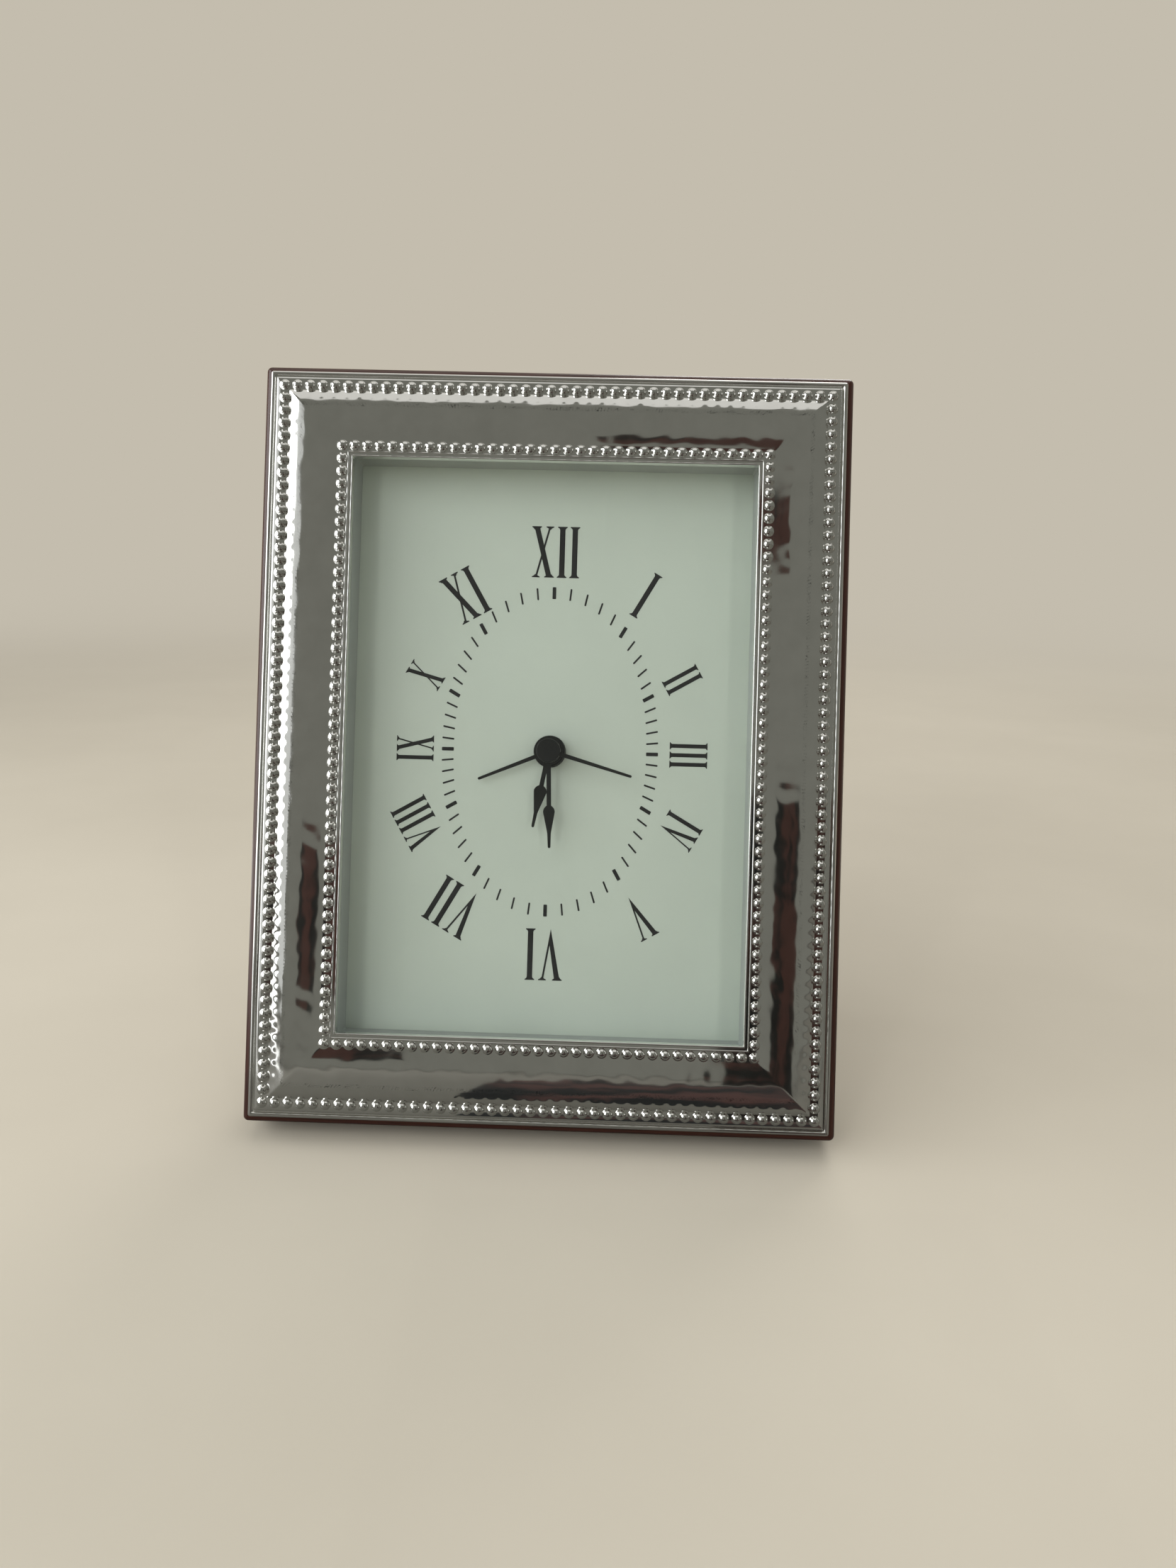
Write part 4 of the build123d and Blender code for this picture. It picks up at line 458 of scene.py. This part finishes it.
def ring_path(half_x, half_y, inset, corner, corner_steps, side_steps):
    """Points round a rectangle with rounded corners, at an inset from its outer edge."""
    radius = max(corner - inset, 0.0)
    shift = max(corner, inset)
    arcs = []
    for turn, (side_x, side_y) in enumerate(((1, -1), (1, 1), (-1, 1), (-1, -1))):
        centre = (side_x * (half_x - shift), side_y * (half_y - shift))
        angles = [math.radians(90 * turn - 90 + 90 * step / corner_steps) for step in range(corner_steps + 1)]
        arcs.append([(centre[0] + radius * math.cos(a), centre[1] + radius * math.sin(a)) for a in angles])
    points = []
    for number, points_of_arc in enumerate(arcs):
        steps = side_steps[number % 2]
        points += points_of_arc
        points += line(points_of_arc[-1], arcs[(number + 1) % 4][0], steps)[:-1]
    return points


def frame_ring(profile, half_x, half_y, corner, corner_steps, side_steps, bend=None):
    """Carries a closed profile of (inset, height) round a frame. The UV map runs along sides and profile."""
    build = bmesh.new()
    uv = build.loops.layers.uv.new("grain")
    rows = []
    for inset, height in profile:
        path = ring_path(half_x, half_y, inset, corner, corner_steps, side_steps)
        places = [Vector((x, y, height)) for x, y in path]
        if bend:
            places = [place + bend(place, inset) for place in places]
        rows.append([build.verts.new(place) for place in places])
    outer = ring_path(half_x, half_y, 0.0, corner, corner_steps, side_steps)
    along = [0.0]
    for (x0, y0), (x1, y1) in zip(outer, outer[1:] + outer[:1]):
        along.append(along[-1] + math.hypot(x1 - x0, y1 - y0))
    across = [0.0]
    for (p0, h0), (p1, h1) in zip(profile, profile[1:] + profile[:1]):
        across.append(across[-1] + math.hypot(p1 - p0, h1 - h0))
    count = len(outer)
    for i, low in enumerate(rows):
        high = rows[(i + 1) % len(rows)]
        for j in range(count):
            k = (j + 1) % count
            face = build.faces.new((low[j], low[k], high[k], high[j]))
            corners = ((j, i), (j + 1, i), (j + 1, i + 1), (j, i + 1))
            for loop, (step, row) in zip(face.loops, corners):
                loop[uv].uv = (along[step], across[row])
    bmesh.ops.remove_doubles(build, verts=build.verts, dist=0.0005)
    bmesh.ops.recalc_face_normals(build, faces=build.faces)
    return build


# Silver face

def silver_back():
    """Underside of the sheet from its outer edge inward, which is also the front of the wood."""
    return [
        (0.0, EDGE), (GROOVE_END, RIM_FOOT - SHEET), (SHOULDER_FOOT[0], CHANNEL - SHEET),
        (SHOULDER_TOP[0] + SHEET / 2, BAND - SHEET), (BAND_END[0], SEAT - SHEET),
        (BORDER - SIGHT_SETBACK, SEAT - SHEET),
    ]


def rim_profile():
    """Edge, rim, groove, bead channel and shoulder of the pressed sheet, and back along its underside."""
    points = [(0.0, EDGE), (0.0, RIM_FOOT)]
    points += arc((0.0, RIM_FOOT), (RIM_WIDTH, RIM_FOOT), RIM_RISE, 8)
    points += [(GROOVE_END, RIM_FOOT)]
    points += arc((GROOVE_END, RIM_FOOT), (FILLET_END, CHANNEL), FILLET_ROUND, 6)
    points += line((FILLET_END, CHANNEL), SHOULDER_FOOT, 2)
    points += arc(SHOULDER_FOOT, SHOULDER_KNEE, SHOULDER_ROUND, 11)
    points += arc(SHOULDER_KNEE, SHOULDER_TOP, SHOULDER_EASE, 8)
    points += arc(SHOULDER_TOP, BAND_END, BAND_CROWN, CROWN_STEPS)[:RIM_OVERLAP_STEPS]
    return points + list(reversed(silver_back()[1:4]))


def lip_ridge(middle):
    """Half round ridge on the lip."""
    return arc((middle - LIP_RIDGE, SEAT), (middle + LIP_RIDGE, SEAT), LIP_RIDGE * LIP_RIDGE_SHARE, 7)


def band_profile():
    """Plain band, seat of the inner beads and lip of the pressed sheet, and back along its underside."""
    points = [SHOULDER_TOP]
    points += arc(SHOULDER_TOP, BAND_END, BAND_CROWN, CROWN_STEPS)
    points += line(BAND_END, (LIP_START - LIP_RIDGE, SEAT), 2)
    points += lip_ridge(LIP_START)
    points += line((LIP_START + LIP_RIDGE, SEAT), (BORDER - 2 * LIP_RIDGE, SEAT), 2)
    points += lip_ridge(BORDER - LIP_RIDGE)
    points += line((BORDER, SEAT), (BORDER, LIP_FOOT), 2)
    points += [(BORDER - SHEET, LIP_FOOT)]
    return points + list(reversed(silver_back()[3:]))


def bell(value, span):
    """Smooth rise from 0 at both ends to 1 in the middle of a span."""
    low, high = span
    if value <= low or value >= high:
        return 0.0
    return math.sin(math.pi * (value - low) / (high - low)) ** BELL_POWER


def silver_bend(place, inset):
    """Waves of the pressed sheet: scallops beside the outer beads, uneven shoulder and gently wavy band."""
    bead_inset = BEAD_ROWS[0][0]
    if inset < bead_inset or place.z < CHANNEL:
        return Vector((0, 0, 0))
    reach_x = SILVER_WIDTH / 2 - abs(place.x)
    reach_y = SILVER_HEIGHT / 2 - abs(place.y)
    if reach_x < reach_y:
        inward = Vector((-math.copysign(1, place.x), 0, 0))
        run, length = place.y, SILVER_HEIGHT
    else:
        inward = Vector((0, -math.copysign(1, place.y), 0))
        run, length = place.x, SILVER_WIDTH
    half_run = length / 2 - bead_inset
    pitch = 2 * half_run / round(2 * half_run / BEAD_SPACING)
    corner_fade = min(1.0, max(0.0, abs(reach_x - reach_y) / CORNER_FADE))
    spot = Vector((place.x, place.y, 0.0))
    scallop = SCALLOP_SIZE * math.cos(2 * math.pi * (run + half_run) / pitch) * bell(inset, SCALLOP_SPAN)
    sway = SWAY_SIZE * noise.noise(spot / SWAY_LENGTH) * bell(inset, SWAY_SPAN)
    fine = FINE_SIZE * noise.noise(spot / FINE_LENGTH + FINE_LAYER)
    broad = BROAD_SIZE * noise.noise(spot / BROAD_LENGTH + BROAD_LAYER)
    wave = (fine + broad) * bell(inset, WAVE_SPAN)
    return inward * (sway * corner_fade) + Vector((0, 0, scallop * corner_fade + wave))


def silver_face():
    """Pressed silver sheet, in a finely divided rim and a band."""
    half_x, half_y = SILVER_WIDTH / 2, SILVER_HEIGHT / 2
    rim = frame_ring(
        rim_profile(), half_x, half_y, SILVER_CORNER, RIM_CORNER_STEPS, RIM_SIDE_STEPS, silver_bend
    )
    rim_piece = place_piece("silver_rim", rim, "silver", 38)
    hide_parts("silver_facing")
    band = frame_ring(
        band_profile(), half_x, half_y, SILVER_CORNER, BAND_CORNER_STEPS, BAND_SIDE_STEPS, silver_bend
    )
    place_piece("silver_band", band, "silver", 38)


def bead_places(inset):
    """Evenly spaced places round a rectangle, with one at each corner."""
    half_x = SILVER_WIDTH / 2 - inset
    half_y = SILVER_HEIGHT / 2 - inset
    spaces_x = round(2 * half_x / BEAD_SPACING)
    spaces_y = round(2 * half_y / BEAD_SPACING)
    places = []
    for step in range(spaces_x):
        x = -half_x + 2 * half_x * step / spaces_x
        places += [(x, -half_y), (-x, half_y)]
    for step in range(spaces_y):
        y = -half_y + 2 * half_y * step / spaces_y
        places += [(half_x, y), (-half_x, -y)]
    return places


def add_bead(build, place, radius, level):
    """Low round bead with a small hollow where it meets the sheet."""
    ball = (radius ** 2 + BEAD_HEIGHT ** 2) / (2 * BEAD_HEIGHT)
    middle = level + BEAD_HEIGHT - ball
    last = math.asin(radius / ball) - BEAD_HOLLOW_TURN
    outline = []
    for ring in range(1, BEAD_RINGS + 1):
        angle = last * ring / BEAD_RINGS
        outline.append((ball * math.sin(angle), middle + ball * math.cos(angle)))
    outline += [(radius * share, level + height) for share, height in BEAD_HOLLOW]
    top = build.verts.new((place[0], place[1], level + BEAD_HEIGHT))
    turns = [2 * math.pi * side / BEAD_SIDES for side in range(BEAD_SIDES)]
    loops = []
    for reach, height in outline:
        steps = [(reach * math.cos(turn), reach * math.sin(turn)) for turn in turns]
        loops.append([build.verts.new((place[0] + x, place[1] + y, height)) for x, y in steps])
    for side in range(BEAD_SIDES):
        following = (side + 1) % BEAD_SIDES
        build.faces.new((top, loops[0][side], loops[0][following]))
        for upper, lower in zip(loops, loops[1:]):
            build.faces.new((upper[side], lower[side], lower[following], upper[following]))


def silver_beads():
    build = bmesh.new()
    for inset, radius, level in BEAD_ROWS:
        for place in bead_places(inset):
            add_bead(build, place, radius, level)
    place_piece("silver_beads", build, "silver", 60)


# Wood moulding

def wood_profile():
    """Rounded outer edge, front under the silver, rebate and panel seat, with eased back edges."""
    front = [(inset + WOOD_MARGIN, height - WOOD_GAP) for inset, height in silver_back()]
    points = [(0.0, FRAME_BACK + BACK_ROUND), (0.0, WOOD_TURN)]
    points += arc((0.0, WOOD_TURN), front[0], WOOD_ROUND, 8)
    points += front[1:]
    points += [(front[-1][0], GLASS_FRONT), (REBATE, GLASS_FRONT), (REBATE, PANEL_FRONT)]
    points += [(PANEL_SEAT, PANEL_FRONT), (PANEL_SEAT, FRAME_BACK + BACK_EASE)]
    points += [(PANEL_SEAT - BACK_EASE, FRAME_BACK), (BACK_ROUND, FRAME_BACK)]
    points += arc((BACK_ROUND, FRAME_BACK), (0.0, FRAME_BACK + BACK_ROUND), 0.3 * BACK_ROUND, 4)[:-1]
    return points


def wood_moulding():
    half_x, half_y = WOOD_WIDTH / 2, WOOD_HEIGHT / 2
    build = frame_ring(wood_profile(), half_x, half_y, WOOD_CORNER, WOOD_CORNER_STEPS, WOOD_SIDE_STEPS)
    piece = place_piece("wood_moulding", build, "wood", 35)
    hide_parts("wood_frame")


# Dial print

def dial_turn(radius, clock_angle):
    """Matrix that carries a shape drawn upright at the centre to its radius and clock angle."""
    return Matrix.Rotation(-math.radians(clock_angle), 4, "Z") @ Matrix.Translation((0, radius, 0))


def add_plate(build, outline, place, top=PRINT_TOP):
    """Thin plate of ink with the given outline."""
    upper = [build.verts.new(place @ Vector((x, y, top))) for x, y in outline]
    lower = [build.verts.new(place @ Vector((x, y, PRINT_SINK))) for x, y in outline]
    build.faces.new(upper)
    build.faces.new(list(reversed(lower)))
    for index in range(len(outline)):
        after = (index + 1) % len(outline)
        build.faces.new((lower[index], lower[after], upper[after], upper[index]))


def serif(middle, edge, stem, reach, height, upward):
    """Bracketed foot of a stroke: a thin bar that curves into the stem."""
    thick = SERIF_THICK * height
    bracket = SERIF_BRACKET * height
    sign = 1 if upward else -1
    half = stem / 2 + reach
    points = [(half, 0.0), (half, thick * 0.6)]
    for step in range(1, SERIF_STEPS + 1):
        turn = step / SERIF_STEPS
        points.append((half - reach * turn ** 0.6, thick + bracket * turn ** 2.2))
    right = [(middle + x, edge + sign * y) for x, y in points]
    left = [(middle - x, edge + sign * y) for x, y in reversed(points)]
    outline = right + left
    return outline if upward else list(reversed(outline))


def stroke(top_x, foot_x, height, top_width, foot_width):
    """Straight stroke between the top and foot lines."""
    half = height / 2
    return [
        (top_x - top_width / 2, half), (foot_x - foot_width / 2, -half), (foot_x + foot_width / 2, -half),
        (top_x + top_width / 2, half),
    ]


def add_letter(build, letter, left, height, place):
    """Draws one letter of a numeral and returns its width between stroke middles."""
    half = height / 2
    stem = STEM * height
    hair = HAIR * height
    reach = STEM_SERIF * height
    thin_reach = HAIR_SERIF * height
    width = LETTER_WIDTHS[letter] * height
    right = left + width
    if letter == "I":
        shapes = [stroke(left, left, height, stem, stem)]
        shapes += [serif(left, -half, stem, reach, height, True)]
        shapes += [serif(left, half, stem, reach, height, False)]
    elif letter == "X":
        shapes = [stroke(left, right, height, stem, stem), stroke(right, left, height, hair, hair)]
        shapes += [serif(left, half, stem, reach, height, False)]
        shapes += [serif(right, -half, stem, reach, height, True)]
        shapes += [serif(right, half, hair, thin_reach, height, False)]
        shapes += [serif(left, -half, hair, thin_reach, height, True)]
    else:
        point = (left + width / 2, -half)
        crotch = (left + width / 2 + CROTCH_SHIFT * height, -half + CROTCH_RISE * height)
        shapes = [
            [(left - stem / 2, half), point, crotch, (left + stem / 2, half)],
            [(right - hair / 2, half), crotch, point, (right + hair / 2, half)],
        ]
        shapes += [serif(left, half, stem, reach, height, False)]
        shapes += [serif(right, half, hair, thin_reach, height, False)]
    for number, outline in enumerate(shapes):
        add_plate(build, outline, place, PRINT_TOP + PRINT_STEP * number)
    return width


def add_numeral(build, letters, radius, height, clock_angle):
    """Roman numeral with its foot towards the centre."""
    pitch = LETTER_PITCH * height
    total = sum(LETTER_WIDTHS[letter] * height for letter in letters) + pitch * (len(letters) - 1)
    left = -total / 2
    place = dial_turn(radius, clock_angle)
    for letter in letters:
        left += add_letter(build, letter, left, height, place) + pitch


def track_radius(clock_angle):
    """Distance of the minute track from the centre, along an oval a little fuller than an ellipse."""
    turn = math.radians(clock_angle)
    across = abs(math.sin(turn)) / TRACK_HALF_WIDTH
    along = abs(math.cos(turn)) / TRACK_HALF_HEIGHT
    return (across ** TRACK_POWER + along ** TRACK_POWER) ** (-1 / TRACK_POWER)


def add_tick(build, minute):
    clock_angle = 6.0 * minute
    half_width = (FIVE_TICK_WIDTH if minute % 5 == 0 else TICK_WIDTH) / 2
    half_length = TICK_LENGTH / 2
    soft = TICK_CORNER
    outline = [
        (half_width - soft, -half_length), (half_width, soft - half_length), (half_width, half_length - soft),
        (half_width - soft, half_length), (soft - half_width, half_length), (-half_width, half_length - soft),
        (-half_width, soft - half_length), (soft - half_width, -half_length),
    ]
    add_plate(build, outline, dial_turn(track_radius(clock_angle), clock_angle))


def dial_print():
    build = bmesh.new()
    for hour, (letters, radius, height) in enumerate(NUMERALS):
        add_numeral(build, letters, radius, height, 30.0 * hour)
    for minute in range(60):
        add_tick(build, minute)
    bmesh.ops.recalc_face_normals(build, faces=build.faces)
    place_piece("dial_print", build, "ink", 30)


# Stage: floor with a backdrop, lights and camera

def far_glow(tree, shader, path):
    """Far from the clock the camera sees floor and backdrop as plain background colour, without a horizon."""
    place = tree.nodes.new("ShaderNodeNewGeometry")
    length = add_node(tree, "ShaderNodeVectorMath", operation="LENGTH")
    distance = tree.nodes.new("ShaderNodeMapRange")
    distance.interpolation_type = "SMOOTHSTEP"
    distance.inputs["From Min"].default_value = FADE_START
    distance.inputs["From Max"].default_value = FADE_END
    glow = add_node(tree, "ShaderNodeEmission", Color=(*BACKGROUND, 1), Strength=1.0)
    tree.links.new(place.outputs["Position"], length.inputs[0])
    tree.links.new(length.outputs["Value"], distance.inputs["Value"])
    seen = math_node(tree, "MULTIPLY", distance.outputs["Result"], path.outputs["Is Camera Ray"])
    mix = mix_shaders(tree, seen, shader.outputs["BSDF"], glow.outputs["Emission"])
    tree.links.new(mix, tree.nodes["Material Output"].inputs["Surface"])


def floor_material():
    """Pale floor with faint clouds and fibres, which metal mirrors darker in front of the clock."""
    material, tree, shader = new_material("pale_floor")
    cloud = noise_field(tree, coordinates(tree, "Object", (2, 2, 2)), size=3.0, detail=4.0)
    fibre = noise_field(tree, coordinates(tree, "Object", (300, 1600, 300)), size=1.0, detail=4.0)
    pale = ramp(tree, cloud, ((0.3, srgb(194, 186, 170)), (0.7, srgb(201, 193, 177))))
    path = tree.nodes.new("ShaderNodeLightPath")
    shade = add_node(tree, "ShaderNodeMixRGB", Color2=(*srgb(96, 94, 86), 1))
    place = tree.nodes.new("ShaderNodeNewGeometry")
    axes = tree.nodes.new("ShaderNodeSeparateXYZ")
    front = tree.nodes.new("ShaderNodeMapRange")
    front.inputs["From Min"].default_value = DARK_FLOOR_START
    front.inputs["From Max"].default_value = DARK_FLOOR_FULL
    tree.links.new(place.outputs["Position"], axes.inputs["Vector"])
    tree.links.new(axes.outputs["Y"], front.inputs["Value"])
    mirrored = math_node(tree, "MULTIPLY", front.outputs["Result"], path.outputs["Is Glossy Ray"])
    tree.links.new(mirrored, shade.inputs["Fac"])
    tree.links.new(pale, shade.inputs["Color1"])
    tree.links.new(shade.outputs["Color"], shader.inputs["Base Color"])
    shader.inputs["Roughness"].default_value = 0.85
    bump(tree, shader, fibre, distance=0.0001, strength=0.1)
    far_glow(tree, shader, path)
    return material


def sweep_floor():
    """Floor that curves up into a backdrop behind the clock."""
    section = [(FLOOR_FRONT, 0.0), (BEND_START, 0.0)]
    for step in range(1, BEND_STEPS + 1):
        turn = math.radians(90 * step / BEND_STEPS)
        depth = BEND_START + BEND_RADIUS * math.sin(turn)
        section.append((depth, BEND_RADIUS - BEND_RADIUS * math.cos(turn)))
    section.append((BEND_START + BEND_RADIUS, BACKDROP_TOP))
    build = bmesh.new()
    rows = [[build.verts.new((x, y, z)) for y, z in section] for x in (-FLOOR_HALF_WIDTH, FLOOR_HALF_WIDTH)]
    for index in range(len(section) - 1):
        build.faces.new((rows[0][index], rows[1][index], rows[1][index + 1], rows[0][index + 1]))
    mesh = bpy.data.meshes.new("floor_sweep")
    build.to_mesh(mesh)
    build.free()
    mesh.polygons.foreach_set("use_smooth", [True] * len(mesh.polygons))
    mesh.materials.append(floor_material())
    floor = add_object("floor_sweep", mesh)


def bench_point(x, y, z):
    return STAND @ Vector((x, y, z))


def lamp(name, place, turns, width, height, power, colour, mirrored):
    """Soft rectangular lamp that shines along its own -Z, and may be left out of mirrors and glass."""
    light = bpy.data.lights.new(name, "AREA")
    light.shape = "RECTANGLE"
    light.size = width
    light.size_y = height
    light.energy = power
    light.color = colour
    holder = add_object(name, light)
    holder.location = place
    holder.rotation_euler = [math.radians(turn) for turn in turns]
    holder.visible_camera = False
    holder.visible_glossy = mirrored
    holder.visible_transmission = mirrored


def lights():
    for values in LAMPS:
        lamp(*values)


def dark_cards():
    """Dark cards round the camera that only the polished metal mirrors."""
    material, tree, shader = new_material("dark_card")
    cloud = noise_field(tree, coordinates(tree, "Object", (26, 26, 26)), size=1.0, detail=3.0)
    tree.links.new(ramp(tree, cloud, ((0.44, (0.004, 0.005, 0.005)), (0.56, (0.05, 0.02, 0.016)))),
                   shader.inputs["Base Color"])
    shader.inputs["Roughness"].default_value = 0.9
    build = bmesh.new()
    for left, right, low, high, distance in DARK_CARDS:
        places = ((left, low), (right, low), (right, high), (left, high))
        build.faces.new([build.verts.new(bench_point(x, y, distance)) for x, y in places])
    left, right, near, far, height = FLOOR_CARD
    places = ((left, -near), (right, -near), (right, -far), (left, -far))
    build.faces.new([build.verts.new(Vector((x, y, height)) * MM) for x, y in places])
    mesh = bpy.data.meshes.new("dark_cards")
    build.to_mesh(mesh)
    build.free()
    mesh.materials.append(material)
    cards = add_object("dark_cards", mesh)
    cards.visible_camera = False
    cards.visible_diffuse = False
    cards.visible_shadow = False
    cards.visible_transmission = False


def world_light():
    """Soft room light. Metal sees a room that is dim in front of the clock, the camera a pale one."""
    world = bpy.data.worlds.new("room")
    bpy.context.scene.world = world
    world.use_nodes = True
    tree = world.node_tree
    tree.nodes.clear()
    soft = add_node(tree, "ShaderNodeBackground", Color=(*ROOM_LIGHT, 1), Strength=ROOM_STRENGTH)
    seen = add_node(tree, "ShaderNodeBackground", Color=(*BACKGROUND, 1), Strength=1.0)
    direction = tree.nodes.new("ShaderNodeTexCoord")
    axes = tree.nodes.new("ShaderNodeSeparateXYZ")
    mirrored = tree.nodes.new("ShaderNodeBackground")
    tree.links.new(direction.outputs["Generated"], axes.inputs["Vector"])
    room = ramp(tree, axes.outputs["Y"], ((0.1, DIM_ROOM), (0.7, LIGHT_ROOM)))
    tree.links.new(room, mirrored.inputs["Color"])
    path = tree.nodes.new("ShaderNodeLightPath")
    output = tree.nodes.new("ShaderNodeOutputWorld")
    lit = mix_shaders(
        tree, path.outputs["Is Glossy Ray"], soft.outputs["Background"], mirrored.outputs["Background"]
    )
    whole = mix_shaders(tree, path.outputs["Is Camera Ray"], lit, seen.outputs["Background"])
    tree.links.new(whole, output.inputs["Surface"])


def camera():
    """Camera square to the dial, placed and turned as in the photo."""
    turn_x, turn_y, turn_z = (math.radians(angle) for angle in CAMERA_TURNS)
    turned = Matrix.Rotation(turn_z, 3, "Z") @ Matrix.Rotation(turn_y, 3, "Y")
    turned = turned @ Matrix.Rotation(turn_x, 3, "X")
    flip = Matrix.Diagonal((1, -1, -1))
    right, down, forward = (upright.to_3x3() @ (flip @ turned[row]) for row in range(3))
    data = bpy.data.cameras.new("camera")
    data.sensor_width = SENSOR
    data.lens = SENSOR * FOCAL_PIXELS / PHOTO_HEIGHT
    data.clip_start = CLIP_START
    view = add_object("camera", data)
    axes = Matrix((right, -down, -forward)).transposed()
    view.matrix_world = Matrix.Translation(bench_point(*CAMERA_PLACE)) @ axes.to_4x4()
    bpy.context.scene.camera = view


dress_nodes()
silver_face()
silver_beads()
wood_moulding()
dial_print()
sweep_floor()
lights()
dark_cards()
world_light()
camera()
bpy.context.scene.view_settings.view_transform = "Standard"
